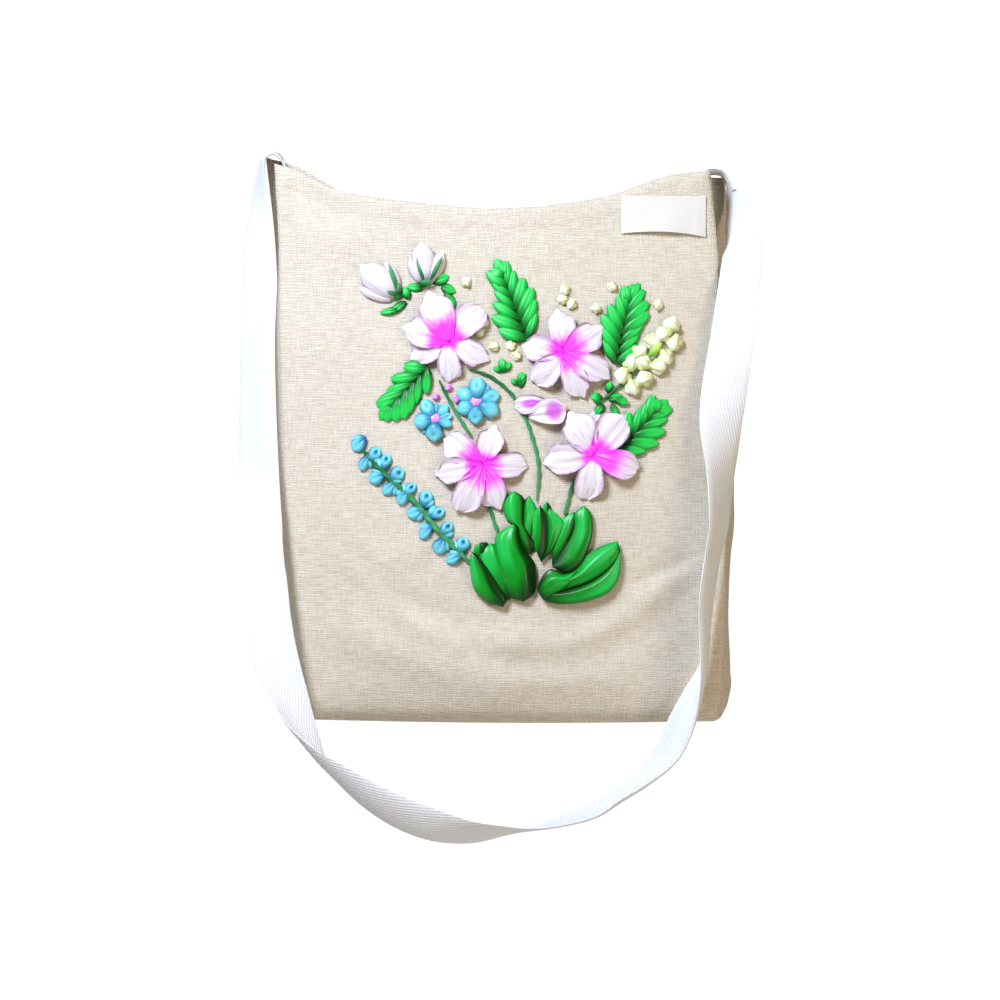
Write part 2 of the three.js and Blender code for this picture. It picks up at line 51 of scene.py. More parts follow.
look = Vector((
    -math.sin(CAMERA_TURN) * math.cos(CAMERA_LIFT),
    math.cos(CAMERA_TURN) * math.cos(CAMERA_LIFT),
    -math.sin(CAMERA_LIFT),
))
camera = bpy.data.objects.new("camera", bpy.data.cameras.new("camera"))
camera.location = CAMERA_AIM - look * CAMERA_AWAY
camera.rotation_euler = look.to_track_quat("-Z", "Y").to_euler()
camera.data.sensor_width = SENSOR
camera.data.lens = SENSOR * CAMERA_AWAY / FRAME_WIDTH
bpy.context.collection.objects.link(camera)
bpy.context.scene.camera = camera


# Front panel
# One cut of undyed plain-woven jute, hemmed at the rim and turned in at its seams. It hangs from
# its two top corners, so the rim sags between them and soft folds swing in a U across the front.
MM = 0.001
BAG_HEIGHT = 370
FRONT_WIDTH = 295
CLOTH_WALL = 2.0
EDGE_TURN = 6
EDGE_THIN = 0.3
HEM_DEPTH = 13
HEM_STANDS = 0.7
HEM_SOFT = 0.7
RIM_ROUND = 1.6
RIM_REACH = 0.9
BASE_SAG = 1.5
FRONT_SECTIONS = {
    "down": (0, 0.15, 0.35, 0.6, 0.8, 0.93, 0.975, 1),
    "left": (-151, -148, -147, -143, -136, -130, -127, -124),
    "right": (139, 144, 148, 150, 149, 147, 145, 142),
    "depth": (23, 25, 28, 31, 34, 35, 34, 29),
    "belly": (4, 7, 10, 13, 12, 8, 5, 2),
}
FRONT_RIM = {
    "across": (0, 0.05, 0.09, 0.15, 0.3, 0.52, 0.75, 0.9, 1),
    "height": (0, -4, -10, -18, -25, -30, -23, -9, -5),
}
# Each fold: the middle and height of its lowest point, how far its arms rise over half its span,
# that half span, its width across the fold and how far it stands out.
FRONT_FOLDS = (
    (12, -318, 58, 125, 10, 4.6),
    (34, -342, 50, 110, 9, 1.4),
    (-70, -262, 70, 55, 10, 1.5),
)
# Each crease: where it starts and ends, its width and how far it stands out or in.
FRONT_CREASES = (
    (-154, -12, -88, -38, 10, -4.6),
    (-152, -40, -84, -58, 12, 3.0),
    (138, -12, 139, -80, 7, 1.2),
    (-140, -300, 20, -354, 14, 4.6),
    (84, -281, 138, -256, 4.5, -2.4),
    (84, -291, 136, -267, 7, 2.0),
    (-118, -270, 6, -322, 9, -4.2),
    (14, -322, 92, -292, 9, -3.2),
    (60, -352, 132, -318, 14, 1.0),
    (-20, -345, 140, -345, 10, 1.6),
    (-136, -342, -50, -346, 9, 1.4),
)


def mix(a, b, share):
    return a + (b - a) * share


def read_table(table, column, place):
    """The smooth value of one column of a table at places along the table's first column."""
    places = np.array(table[next(iter(table))], float)
    values = np.array(table[column], float)
    order = np.arange(len(places))
    before = np.maximum(order - 1, 0)
    after = np.minimum(order + 1, len(places) - 1)
    slopes = (values[after] - values[before]) / (places[after] - places[before])
    start = np.clip(np.searchsorted(places, place) - 1, 0, len(places) - 2)
    span = places[start + 1] - places[start]
    t = np.clip((place - places[start]) / span, 0, 1)
    return (
        (2 * t**3 - 3 * t**2 + 1) * values[start]
        + (t**3 - 2 * t**2 + t) * span * slopes[start]
        + (3 * t**2 - 2 * t**3) * values[start + 1]
        + (t**3 - t**2) * span * slopes[start + 1]
    )


def grid(rows, columns, first=0):
    """Shares down and across a piece of cloth or ribbon, one for each of its points."""
    return np.meshgrid(np.linspace(0, 1, rows), np.linspace(first, 1, columns), indexing="ij")


def unit(ways):
    return ways / np.linalg.norm(ways, axis=-1, keepdims=True)


def crown(across):
    return 1 - np.abs(2 * across - 1) ** 2.6


def base_height(across):
    return -BAG_HEIGHT - BASE_SAG * np.sin(np.pi * across)


def fold_out(x, z):
    """How far the folds of the front stand out at a place on it."""
    out = 0.0
    for middle, height, rise, half_span, width, stands in FRONT_FOLDS:
        along = np.clip((x - middle) / half_span, -1, 1)
        off = (z - height - rise * along**2) / width
        out = out + stands * np.exp(-(off**2)) * (1 - along**4)
    for x0, z0, x1, z1, width, stands in FRONT_CREASES:
        length = math.hypot(x1 - x0, z1 - z0)
        along = ((x - x0) * (x1 - x0) + (z - z0) * (z1 - z0)) / length**2
        off = ((x - x0) * (z1 - z0) - (z - z0) * (x1 - x0)) / length / width
        out = out + stands * np.exp(-(off**2)) * np.sin(np.pi * np.clip(along, 0, 1)) ** 0.7
    return out


def front_place(across, down):
    x = mix(read_table(FRONT_SECTIONS, "left", down), read_table(FRONT_SECTIONS, "right", down), across)
    z = mix(read_table(FRONT_RIM, "height", across), base_height(across), down)
    belly = read_table(FRONT_SECTIONS, "belly", down) + fold_out(x, z)
    y = -read_table(FRONT_SECTIONS, "depth", down) - belly * crown(across)
    return np.stack([x, y, z], -1)


def front_y(x, z):
    """The front's depth at places given by their width and height."""
    down = -z / BAG_HEIGHT
    for _ in range(12):
        left = read_table(FRONT_SECTIONS, "left", down)
        right = read_table(FRONT_SECTIONS, "right", down)
        across = np.clip((x - left) / (right - left), 0, 1)
        rim = read_table(FRONT_RIM, "height", across)
        down = np.clip((z - rim) / (base_height(across) - rim), 0, 1)
    return front_place(across, down)[..., 1]


def edge_turn(distance):
    """How far the outer face of cloth turns in towards an edge that is this far away."""
    near = np.clip(1 - distance / EDGE_TURN, 0, 1)
    return (CLOTH_WALL - EDGE_THIN) * (1 - np.sqrt(1 - near**2))


def hem_out(distance):
    """How far the turned-in hem stands out at a distance below the rim, rounded at the fold."""
    band = HEM_STANDS / (1 + np.exp((distance - HEM_DEPTH) / HEM_SOFT))
    return band - RIM_ROUND * np.exp(-distance / RIM_REACH)


def closed_sheet(outer, inner, flat):
    """The points, faces and flat places of cloth between an outer and an inner grid of points."""
    rows, columns = outer.shape[:2]
    count = rows * columns
    number = np.arange(count).reshape(rows, columns)
    corners = [number[:-1, :-1], number[:-1, 1:], number[1:, 1:], number[1:, :-1]]
    face = np.stack([corner.ravel() for corner in corners], -1)
    rim = np.concatenate([number[0], number[1:, -1], number[-1, -2::-1], number[-2:0:-1, 0]])
    ahead = np.roll(rim, -1)
    edge = np.stack([ahead, rim, rim + count, ahead + count], -1)
    points = np.concatenate([outer.reshape(-1, 3), inner.reshape(-1, 3)])
    places = np.concatenate([flat.reshape(-1, 2)] * 2)
    return points, np.concatenate([face, face[:, ::-1] + count, edge]), places


def panel_cloth(place_on, outward, rows, columns, width):
    """A panel's cloth, turned in at its seams and hemmed at the rim."""
    down, across = grid(rows, columns)
    outer = place_on(across, down)
    inner = outer - (0, outward * CLOTH_WALL, 0)
    flat = outer[..., [0, 2]] * MM
    side_distance = np.minimum(across, 1 - across) * width
    outer[..., 1] -= outward * edge_turn(np.minimum(side_distance, (1 - down) * BAG_HEIGHT))
    outer[..., 1] += outward * hem_out(down * BAG_HEIGHT) * np.clip(side_distance / EDGE_TURN, 0, 1)
    return closed_sheet(outer, inner, flat)


def make_piece(name, parts, material, slot, *nodes, crease=55):
    """One piece of the bag, joined from closed parts, riding the bag in place of its plain shape."""
    points, faces, places = [], [], []
    total = 0
    for part_points, part_faces, part_places in parts:
        corners = part_points[part_faces]
        ways = np.cross(corners[:, 1], corners[:, 2]) + np.cross(corners[:, 2], corners[:, 3])
        faces_out = (corners[:, 0] * ways).sum() > 0
        points.append(part_points * MM)
        faces.append((part_faces if faces_out else part_faces[:, ::-1]) + total)
        places.append(part_places)
        total += len(part_points)
    faces = np.concatenate(faces)
    mesh = bpy.data.meshes.new(name)
    mesh.from_pydata(np.concatenate(points).tolist(), [], faces.tolist())
    flat = mesh.uv_layers.new(name="flat")
    flat.data.foreach_set("uv", np.concatenate(places)[faces.ravel()].astype(np.float32).ravel())
    mesh.shade_smooth()
    mesh.set_sharp_from_angle(angle=math.radians(crease))
    mesh.materials.append(material)
    piece = bpy.data.objects.new(name, mesh)
    bpy.context.collection.objects.link(piece)
    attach(piece, "root")
    if nodes:
        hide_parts(*nodes)
    return piece


def add_node(tree, kind, inputs=None, **settings):
    made = tree.nodes.new("ShaderNode" + kind)
    for name, value in settings.items():
        setattr(made, name, value)
    for socket, value in (inputs or {}).items():
        if isinstance(value, bpy.types.NodeSocket):
            tree.links.new(value, made.inputs[socket])
        else:
            made.inputs[socket].default_value = value
    return made


def add_to(inputs, kind, **settings):
    """The outputs of a node put beside the first of its inputs that comes from another node."""
    joined = next(value for value in inputs.values() if isinstance(value, bpy.types.NodeSocket))
    return add_node(joined.id_data, kind, inputs, **settings).outputs


def maths(operation, *values):
    return add_to(dict(enumerate(values)), "Math", operation=operation)[0]


def blend_colours(share, first, second, how="MIX"):
    return add_to({0: share, 6: first, 7: second}, "Mix", data_type="RGBA", blend_type=how)[2]


def spread(value, low, high, to_low=0.0, to_high=1.0):
    """A value between two limits, eased and spread over another range."""
    inputs = {0: value, 1: low, 2: high, 3: to_low, 4: to_high}
    return add_to(inputs, "MapRange", interpolation_type="SMOOTHSTEP")[0]


def flat_place(surface):
    """The two flat coordinates of cloth or ribbon."""
    place = add_node(surface.id_data, "UVMap", uv_map="flat").outputs[0]
    return add_to({0: place}, "SeparateXYZ")[:2]


def streaks(u, v, across, along, fine=2.0, seed=0.0):
    """Noise with this many streaks to each unit across and along."""
    place = {0: maths("MULTIPLY", u, across), 1: maths("MULTIPLY", v, along), 2: seed}
    place = add_to(place, "CombineXYZ")[0]
    return add_to({"Vector": place, "Scale": 1.0, "Detail": fine}, "TexNoise")[0]


def new_finish(name, rough, sheen=0.0):
    made = bpy.data.materials.new(name)
    made.use_nodes = True
    surface = made.node_tree.nodes["Principled BSDF"]
    surface.inputs["Roughness"].default_value = rough
    surface.inputs["Sheen Weight"].default_value = sheen
    return made, surface


def dress(surface, colour, relief, strength, depth):
    """Give a finish its colour and the fine relief of its threads."""
    links = surface.id_data.links
    bump = add_to({"Strength": strength, "Distance": depth, "Height": relief}, "Bump")[0]
    links.new(bump, surface.inputs["Normal"])
    links.new(colour, surface.inputs["Base Color"])


YARN = 1.5
JUTE_LIGHT = (0.75, 0.67, 0.535, 1)
JUTE_DARK = (0.45, 0.37, 0.262, 1)

jute, surface = new_finish("undyed_jute", 0.9, sheen=0.1)
u, v = flat_place(surface)
wander = streaks(u, v, 140, 260, fine=3.0)
wander = maths("MULTIPLY", maths("SUBTRACT", wander, 0.5), 2.6)
warp_place = maths("MULTIPLY_ADD", u, 1 / (YARN * MM), wander)
weft_place = maths("MULTIPLY_ADD", v, 1 / (YARN * MM), maths("MULTIPLY", wander, -0.8))
warp = maths("COSINE", maths("MULTIPLY", warp_place, math.pi))
weft = maths("COSINE", maths("MULTIPLY", weft_place, math.pi))
over = maths("MULTIPLY", warp, weft)
warp_up = maths("MULTIPLY_ADD", over, 0.5, 0.5)
weft_up = maths("MULTIPLY_ADD", over, -0.5, 0.5)
warp_high = maths("MULTIPLY", maths("ABSOLUTE", warp), warp_up)
weft_high = maths("MULTIPLY", maths("ABSOLUTE", weft), weft_up)
weave = maths("MAXIMUM", warp_high, weft_high)
slub_weft = streaks(u, v, 95, 900)
slub_warp = streaks(u, v, 900, 110, seed=7.0)
slubs = maths("MULTIPLY_ADD", slub_warp, 0.4, maths("MULTIPLY", slub_weft, 0.6))
cloudy = streaks(u, v, 14, 14, seed=3.0)
tone = maths("MULTIPLY_ADD", cloudy, 0.25, spread(slubs, 0.34, 0.7, 0.0, 0.55))
yarn = blend_colours(tone, JUTE_LIGHT, JUTE_DARK)
shade = spread(weave, 0.05, 0.6, 0.74, 1.0)
shade = add_to({0: shade, 1: shade, 2: shade}, "CombineXYZ")[0]
shaded = blend_colours(1.0, yarn, shade, "MULTIPLY")
dress(surface, shaded, maths("MULTIPLY_ADD", slubs, 0.5, weave), 0.55, 0.0006)

front_cloth = panel_cloth(front_place, -1, 181, 151, FRONT_WIDTH)
front_panel = make_piece("front_panel_cloth", [front_cloth], jute, "jute", "front_panel")


# Back panel
# A second cut of the same jute, a little wider than the front and hung from the same corners. Its
# inner face shows above the front rim in the left corner.
BACK_WIDTH = 305
BACK_SECTIONS = {
    "down": (0, 0.15, 0.35, 0.6, 0.8, 0.93, 0.975, 1),
    "left": (-161, -155, -152, -149, -145, -139, -136, -131),
    "right": (148.5, 152.5, 154, 154.5, 151, 152, 151, 147),
    "depth": (23, 24, 26, 29, 32, 33, 32, 30),
    "belly": (2, 3, 4, 5, 5, 4, 3, 2),
}
BACK_RIM = {
    "across": (0, 0.06, 0.12, 0.18, 0.3, 0.52, 0.8, 0.95, 1),
    "height": (6, 1, -9, -19, -27, -32, -25, -12, -8),
}


def back_place(across, down):
    x = mix(read_table(BACK_SECTIONS, "left", down), read_table(BACK_SECTIONS, "right", down), across)
    z = mix(read_table(BACK_RIM, "height", across), base_height(across), down)
    belly = read_table(BACK_SECTIONS, "belly", down)
    y = read_table(BACK_SECTIONS, "depth", down) + belly * crown(across)
    return np.stack([x, y, z], -1)


back_cloth = panel_cloth(back_place, 1, 121, 101, BACK_WIDTH)
back_panel = make_piece("back_panel_cloth", [back_cloth], jute, "jute", "back_panel")


# Side gussets
# A strip of the same jute down each side, sewn between the two panels. Slack cloth bows outwards
# between the seams, and the right strip creases where the strap pinches it near the bottom.
SEAM_INSET = 2.3
RIM_DIPS = {"left": 3, "right": 1.8}
GUSSET_BULGES = {
    "down": (0, 0.08, 0.17, 0.32, 0.55, 0.8, 0.93, 1),
    "left": (-6, -5, -1, 3, 3.5, 2.5, 2, 0),
    "right": (-6, -6, -4, 1.5, 2, 1, 2.5, 1),
}
# Each crease: its height as a share of the bag's, its slope, its width and how far it stands out.
GUSSET_CREASES = {
    "left": ((0.7, 0.1, 0.03, 1.0),),
    "right": (
        (0.62, 0.12, 0.03, 1.0), (0.74, -0.08, 0.03, -1.0),
        (0.925, 0.09, 0.010, 1.0), (0.945, 0.07, 0.009, -1.2),
    ),
}


def gusset_place(side, across, down):
    end = np.full_like(down, 0.0 if side == "left" else 1.0)
    front = front_place(end, down) + (0, SEAM_INSET, 0)
    back = back_place(end, down) - (0, SEAM_INSET, 0)
    place = mix(front, back, across[..., None])
    arch = np.sin(np.pi * across)
    outward = -1 if side == "left" else 1
    place[..., 0] += outward * read_table(GUSSET_BULGES, side, down) * arch
    place[..., 2] -= RIM_DIPS[side] * arch * (1 - down)
    for middle, slope, wide, stands in GUSSET_CREASES[side]:
        off = (down - middle - slope * (across - 0.5)) / wide
        place[..., 0] += outward * stands * np.exp(-(off**2)) * arch
    return place


down, across = grid(161, 33)
for side, inward in (("left", 1), ("right", -1)):
    outer = gusset_place(side, across, down)
    inner = outer + (inward * CLOTH_WALL, 0, 0)
    flat = outer[..., [1, 2]] * MM
    name = "gusset_" + side
    gusset = make_piece(name + "_cloth", [closed_sheet(outer, inner, flat)], jute, "jute", name)


# Base
# The strip of the same jute that closes the bag underneath, sewn to both panels and both gussets.
# It hangs flat, its ends a little inside the side seams.
BASE_INSET = 2.8

depthwise, across = grid(21, 101)
bottom = np.ones_like(across)
front_edge = front_place(across, bottom) + (0, SEAM_INSET, 0)
back_edge = back_place(across, bottom) - (0, SEAM_INSET, 0)
outer = mix(front_edge, back_edge, depthwise[..., None])
outer[..., 0] += BASE_INSET * (1 - 2 * across)
inner = outer + (0, 0, CLOTH_WALL)
flat = outer[..., [0, 1]] * MM
base = make_piece("gusset_base_cloth", [closed_sheet(outer, inner, flat)], jute, "jute", "gusset_base")


# Hem stitching
# The rim is turned in and held by a row of running stitches in cream thread, a finger's width below
# the folded edge, on the front and on the back.
STITCH = 3.6
STITCH_STEP = 5.0
STITCH_RADIUS = 0.27
STITCH_RISE = np.array([0.3, 0.5, 0.6, 0.5, 0.3])
HEM_DOWN = 11.5
HEM_SPAN = (0.03, 0.975)

thread, surface = new_finish("cream_thread", 0.8)
surface.inputs["Base Color"].default_value = (0.62, 0.56, 0.46, 1)


def closed_tube(rings, flat):
    """The points, faces and flat places of a skin round rings of points, closed at both ends."""
    steps, sides = rings.shape[:2]
    number = np.arange(steps * sides).reshape(steps, sides)
    ahead = np.roll(number, -1, axis=1)
    corners = [number[:-1], ahead[:-1], ahead[1:], number[1:]]
    wall = np.stack([corner.ravel() for corner in corners], -1)
    i = np.arange(sides // 2 - 1)
    cap = np.stack([i, i + 1, sides - 2 - i, sides - 1 - i], -1)
    faces = np.concatenate([wall, cap[:, ::-1], cap + (steps - 1) * sides])
    return rings.reshape(-1, 3), faces, flat.reshape(-1, 2)


def strand(middles, radius, sides=8, twist=0.0, lobes=0, swell=0.0):
    """A closed tube along a line of points, tapered at its ends and lobed where it is twisted."""
    ahead = unit(np.gradient(middles, axis=0))
    sideways = unit(np.cross(ahead, (0.0, 1.0, 0.0)))
    outward = np.cross(sideways, ahead)
    place = np.linspace(0, 1, len(middles))
    taper = np.minimum(1, 0.35 + 6 * np.minimum(place, 1 - place))
    turn = np.linspace(0, 2 * np.pi, sides, endpoint=False)
    reach = radius * taper[:, None] * (1 + swell * np.cos(lobes * (turn - twist * place[:, None])))
    rings = middles[:, None] + reach[..., None] * (
        np.cos(turn)[None, :, None] * sideways[:, None] + np.sin(turn)[None, :, None] * outward[:, None]
    )
    flat = np.stack(np.broadcast_arrays(turn / (2 * np.pi), place[:, None]), -1)
    return closed_tube(rings, flat)


for name, place_on, outward in (("front", front_place, -1), ("back", back_place, 1)):
    stitches = []
    for middle in np.arange(*HEM_SPAN, STITCH_STEP / FRONT_WIDTH):
        across = middle + np.linspace(-0.5, 0.5, len(STITCH_RISE)) * STITCH / FRONT_WIDTH
        line = place_on(across, np.full_like(across, HEM_DOWN / BAG_HEIGHT))
        line[:, 1] += outward * STITCH_RISE
        stitches.append(strand(line, STITCH_RADIUS, sides=6))
    make_piece("hem_stitches_" + name, stitches, thread, "jute")


# Strap
# White cotton twill webbing, 30 mm wide. It is sewn inside the left corner, goes over the rim, falls
# beside the bag, swings below it in a loop with one full turn and comes back over the right corner.
# Each point of its route: width, depth and height, and its twist there in degrees.
STRAP_WIDTH = 30
STRAP_WALL = 1.8
STRAP_ROUTE = np.array([
    (-145.4, 5, -33, -4), (-145.8, 5, -16, -5), (-146.6, 5, -2, -6), (-150, 4.5, 6, 0),
    (-155.5, 4, 8.2, 6), (-161.4, 3.5, 2.2, 11), (-163.2, 1, -24, 27), (-164, -8, -50, 39),
    (-164, -16, -92, 42), (-164.5, -22, -137, 43), (-164, -28, -178, 46), (-161, -35, -211, 58),
    (-158, -42, -245, 72), (-154, -48, -284, 78), (-147.5, -53, -326, 94), (-137, -58, -362, 126),
    (-129, -61, -379, 150), (-118, -64, -394, 178), (-102, -66, -407, 203), (-84, -67, -419, 219),
    (-64, -67, -429, 228), (-41, -67, -437, 228), (-19, -66, -441, 215), (2, -66, -440, 198),
    (22, -65, -438, 184), (44, -64, -433, 173), (64, -63, -426, 168), (79, -62, -416, 169),
    (95, -61, -404, 159), (111, -60, -388, 144), (120, -59, -369, 140), (127, -58, -350, 156),
    (133, -57, -329, 180), (136, -55, -293, 196), (141, -52, -259, 200), (145, -49, -238, 205),
    (146, -45, -206, 217), (146, -41, -174, 246), (148.6, -40, -150, 270), (153.4, -42, -117, 288),
    (157.6, -38, -83, 297), (160, -24, -55, 304), (155.6, -9, -37, 325), (153, 1.5, -23, 344),
    (151.4, 2.6, -13.6, 354), (146.6, 2.6, -6, 356), (137.8, 3.4, -5.2, 355), (131.4, 4.5, -12.4, 355),
    (131.4, 5, -27, 357), (132.2, 5, -42, 358),
])
# How far the webbing rolls out of flat on each side of its middle and how far its twist runs ahead
# of the route's, in degrees, and whether its edges (1) or its middle (0) stay on the route.
STRAP_ROLL = {
    "along": (0, 0.1, 0.28, 0.34, 0.385, 0.44, 0.52, 0.58, 0.64, 0.68, 0.74, 0.8, 1),
    "roll": (2, 3, 8, 30, 46, 24, 10, 34, 52, 30, 10, 6, 2),
    "lead": (0, 0, 1, 6, 9, 4, 0, 0, 0, 0, 0, 0, 0),
    "edges": (0, 0, 0, 0, 0.1, 0.4, 0.8, 1, 1, 1, 1, 1, 1),
}
RIB_PITCH = 2.0
RIB_SLANT = math.radians(-73)
PICK_PITCH = 1.1
WEBBING_HOLLOW = (0.70, 0.70, 0.695, 1)
WEBBING_RIB = (0.80, 0.795, 0.78, 1)

steps = np.linalg.norm(np.diff(STRAP_ROUTE[:, :3], axis=0), axis=1)
walk = np.concatenate([[0], np.cumsum(np.sqrt(steps))])
table = {"walk": walk} | dict(zip(("x", "y", "z", "twist"), STRAP_ROUTE.T))
place = np.linspace(0, walk[-1], 560)
middles = np.stack([read_table(table, axis, place) for axis in "xyz"], -1)
ahead = unit(np.gradient(middles, axis=0))
level = unit((0, 1, 0) - ahead[:, 1:2] * ahead)
outside = np.cross(level, ahead)
length = np.concatenate([[0], np.cumsum(np.linalg.norm(np.diff(middles, axis=0), axis=1))])
roll, lead, edges = (
    read_table(STRAP_ROLL, column, length / length[-1])[:, None] for column in ("roll", "lead", "edges"))
roll = np.radians(roll)
twist = np.radians(read_table(table, "twist", place)[:, None] + lead)
across = np.linspace(-1, 1, 21)[None, :]
turned = twist + roll * across
bow_level = (np.sin(turned) - np.sin(twist)) / roll * STRAP_WIDTH / 2
bow_out = (np.cos(twist) - np.cos(turned)) / roll * STRAP_WIDTH / 2
bow_level = bow_level - edges * (bow_level[:, :1] + bow_level[:, -1:]) / 2
bow_out = bow_out - edges * (bow_out[:, :1] + bow_out[:, -1:]) / 2
level, outside = level[:, None], outside[:, None]
middle = middles[:, None] + bow_level[..., None] * level + bow_out[..., None] * outside
width_way = np.cos(turned)[..., None] * level + np.sin(turned)[..., None] * outside
face_way = np.cross(ahead[:, None], width_way)
half_wall = STRAP_WALL / 2 * (1 - 0.75 * np.abs(across) ** 8)
half_wall = half_wall + 0.12 * np.sin(length[:, None] / 9 + 2 * across) * across**2
outer = middle + half_wall[..., None] * face_way
inner = middle - half_wall[..., None] * face_way
flat = np.stack(np.broadcast_arrays(STRAP_WIDTH / 2 * across, length[:, None]), -1) * MM

webbing, surface = new_finish("white_webbing", 0.8, sheen=0.1)
u, v = flat_place(surface)
slant = maths("MULTIPLY", u, 2 * math.pi * math.sin(RIB_SLANT) / (RIB_PITCH * MM))
slant = maths("MULTIPLY_ADD", v, 2 * math.pi * math.cos(RIB_SLANT) / (RIB_PITCH * MM), slant)
ribs = maths("MULTIPLY_ADD", maths("COSINE", slant), 0.5, 0.5)
picks = maths("SINE", maths("MULTIPLY", v, 2 * math.pi / (PICK_PITCH * MM)))
shade = blend_colours(spread(ribs, 0.0, 0.5), WEBBING_HOLLOW, WEBBING_RIB)
dress(surface, shade, maths("MULTIPLY_ADD", picks, 0.12, ribs), 0.4, 0.0005)
strap = make_piece("strap_webbing", [closed_sheet(outer, inner, flat)], webbing, "webbing", "strap")


# Label
# A blank patch of near-white cloth below the right end of the rim. It is sewn down along its top,
# and its lower edge stands away from the bag in a shallow arch.
LABEL_LEFT = 80
LABEL_WIDTH = 56
LABEL_TOP = -22
LABEL_HEIGHT = 25
LABEL_WALL = 0.8
LABEL_GAP = 0.25
LABEL_ARCH = 3.2

down, across = grid(25, 57)
x = LABEL_LEFT + LABEL_WIDTH * across
arch = np.sin(np.pi * across) ** 0.8
lift = LABEL_GAP + LABEL_WALL + LABEL_ARCH * arch * down**1.5
lift = lift + 0.3 * np.sin(11 * across + 2 * down) * down
lift = lift + 0.5 * np.exp(-(((across - 0.9) / 0.05) ** 2)) * down
z = LABEL_TOP - LABEL_HEIGHT * down * (1 - 0.06 * arch + 0.1 * across**3)
y = front_y(x, z)
outer = np.stack([x, y - lift, z], -1)
inner = outer + (0, LABEL_WALL, 0)
flat = np.stack([x, z], -1) * MM
patch, surface = new_finish("label_cloth", 0.85, sheen=0.1)
u, v = flat_place(surface)
grain = streaks(u, v, 900, 900)
shade = blend_colours(grain, (0.615, 0.575, 0.50, 1), (0.675, 0.635, 0.56, 1))
dress(surface, shade, grain, 0.3, 0.0003)
label = make_piece("label_patch", [closed_sheet(outer, inner, flat)], patch, "label", "label")


# Stems
# Green ribbon twisted into a cord and couched on the front from one end to the other. The stems run
# down from the flowers towards the leaves at the foot of the spray.
STEM_RADIUS = 1.15
STEMS = {
    "stem_left": ((-40, -144), (-30, -163), (-18, -182)),
    "stem_middle": ((-20, -137), (-7, -141), (7, -152), (14, -163), (20, -176), (26, -200), (25, -224)),
    "stem_lower_left": ((-7, -225), (-4, -235), (0, -247)),
    "stem_lower_right": ((49, -210), (46, -222), (43, -233)),
}


def from_middle(across):
    """How far a place across a ribbon is from the ribbon's middle, 1 at its edges."""
    return maths("ABSOLUTE", maths("MULTIPLY_ADD", across, 2.0, -1.0))


def satin(name, light, dark, threads, rough=0.36, painted_edge_shade=0.0, shine=0.35):
    """Satin ribbon with fine lines along it, painted shade towards its gathered end and, if asked, its
    edges.
    """
    made, surface = new_finish(name, rough)
    surface.inputs["Specular IOR Level"].default_value = shine
    u, v = flat_place(surface)
    lines = streaks(u, v, threads, 1.6, fine=3.0)
    drawn = maths("MULTIPLY_ADD", lines, 0.8, -0.4)
    # Painted shade: dark at the gathered foot and light towards the tip, with streaks of thread tone over
    # it.
    tone = maths("MULTIPLY_ADD", spread(v, 0.0, 0.75), 0.8, drawn)
    # Painted shade towards both edges of the ribbon.
    if painted_edge_shade:
        edge = spread(from_middle(u), 0.6, 1.0)
        tone = maths("SUBTRACT", tone, maths("MULTIPLY", edge, painted_edge_shade))
    dress(surface, blend_colours(tone, dark, light), lines, 0.25, 0.0004)
    return made


def smooth_line(points, count):
    points = np.array(points, float)
    steps = np.linalg.norm(np.diff(points, axis=0), axis=1)
    table = {"walk": np.concatenate([[0], np.cumsum(steps)]), "x": points[:, 0], "z": points[:, 1]}
    place = np.linspace(0, table["walk"][-1], count)
    return np.stack([read_table(table, axis, place) for axis in "xz"], -1)


def couched_stem(points, radius=STEM_RADIUS):
    length = np.linalg.norm(np.diff(np.array(points, float), axis=0), axis=1).sum()
    x, z = smooth_line(points, max(8, int(length / 0.9))).T
    line = np.stack([x, front_y(x, z) - radius - 0.3, z], -1)
    return strand(line, radius, sides=10, twist=length / 2.6, lobes=2, swell=0.2)


stem_ribbon = satin("stem_ribbon", (0.06, 0.33, 0.11, 1), (0.006, 0.11, 0.022, 1), 6, rough=0.4)
for name, points in STEMS.items():
    make_piece(name + "_cord", [couched_stem(points)], stem_ribbon, "stem", name)


# Fishbone leaves
# Emerald satin ribbon laid in slanting stitches that meet along a middle vein, worked from the tip
# down so that each pair overlaps the one before it. Every stitch is left loose and stands puffed.
# Each leaf: its foot and tip, its width and how many pairs of stitches it has.
FISHBONE_LEAVES = (
    ("leaf_top", (18, -117), (-3, -63), 29, 7),
    ("leaf_right_upper", (77, -133), (88, -80), 29, 7),
    ("leaf_left", (-47.5, -136), (-80, -170), 24, 6),
    ("leaf_right_lower", (79, -190), (111, -157), 26, 6),
)
LEAF_OUTLINE = {"along": (0, 0.2, 0.45, 0.75, 1), "half": (0.74, 1, 1, 0.68, 0.26)}
STITCH_OUTLINE = {"along": (0, 0.22, 0.55, 0.85, 1), "half": (0.35, 0.82, 1, 0.72, 0.22)}


def on_front(base, turn, along, side, lift):
    """Points that stand off the front, from places along and beside a direction on it."""
    turn = math.radians(turn)
    x = base[0] + along * math.cos(turn) - side * math.sin(turn)
    z = base[1] + along * math.sin(turn) + side * math.cos(turn)
    return np.stack([x, front_y(x, z) - lift, z], -1)


def ribbon(base, turn, along, side, lift, flat, wall=0.4):
    outer = on_front(base, turn, along, side, lift)
    return closed_sheet(outer, on_front(base, turn, along, side, lift - wall), flat)


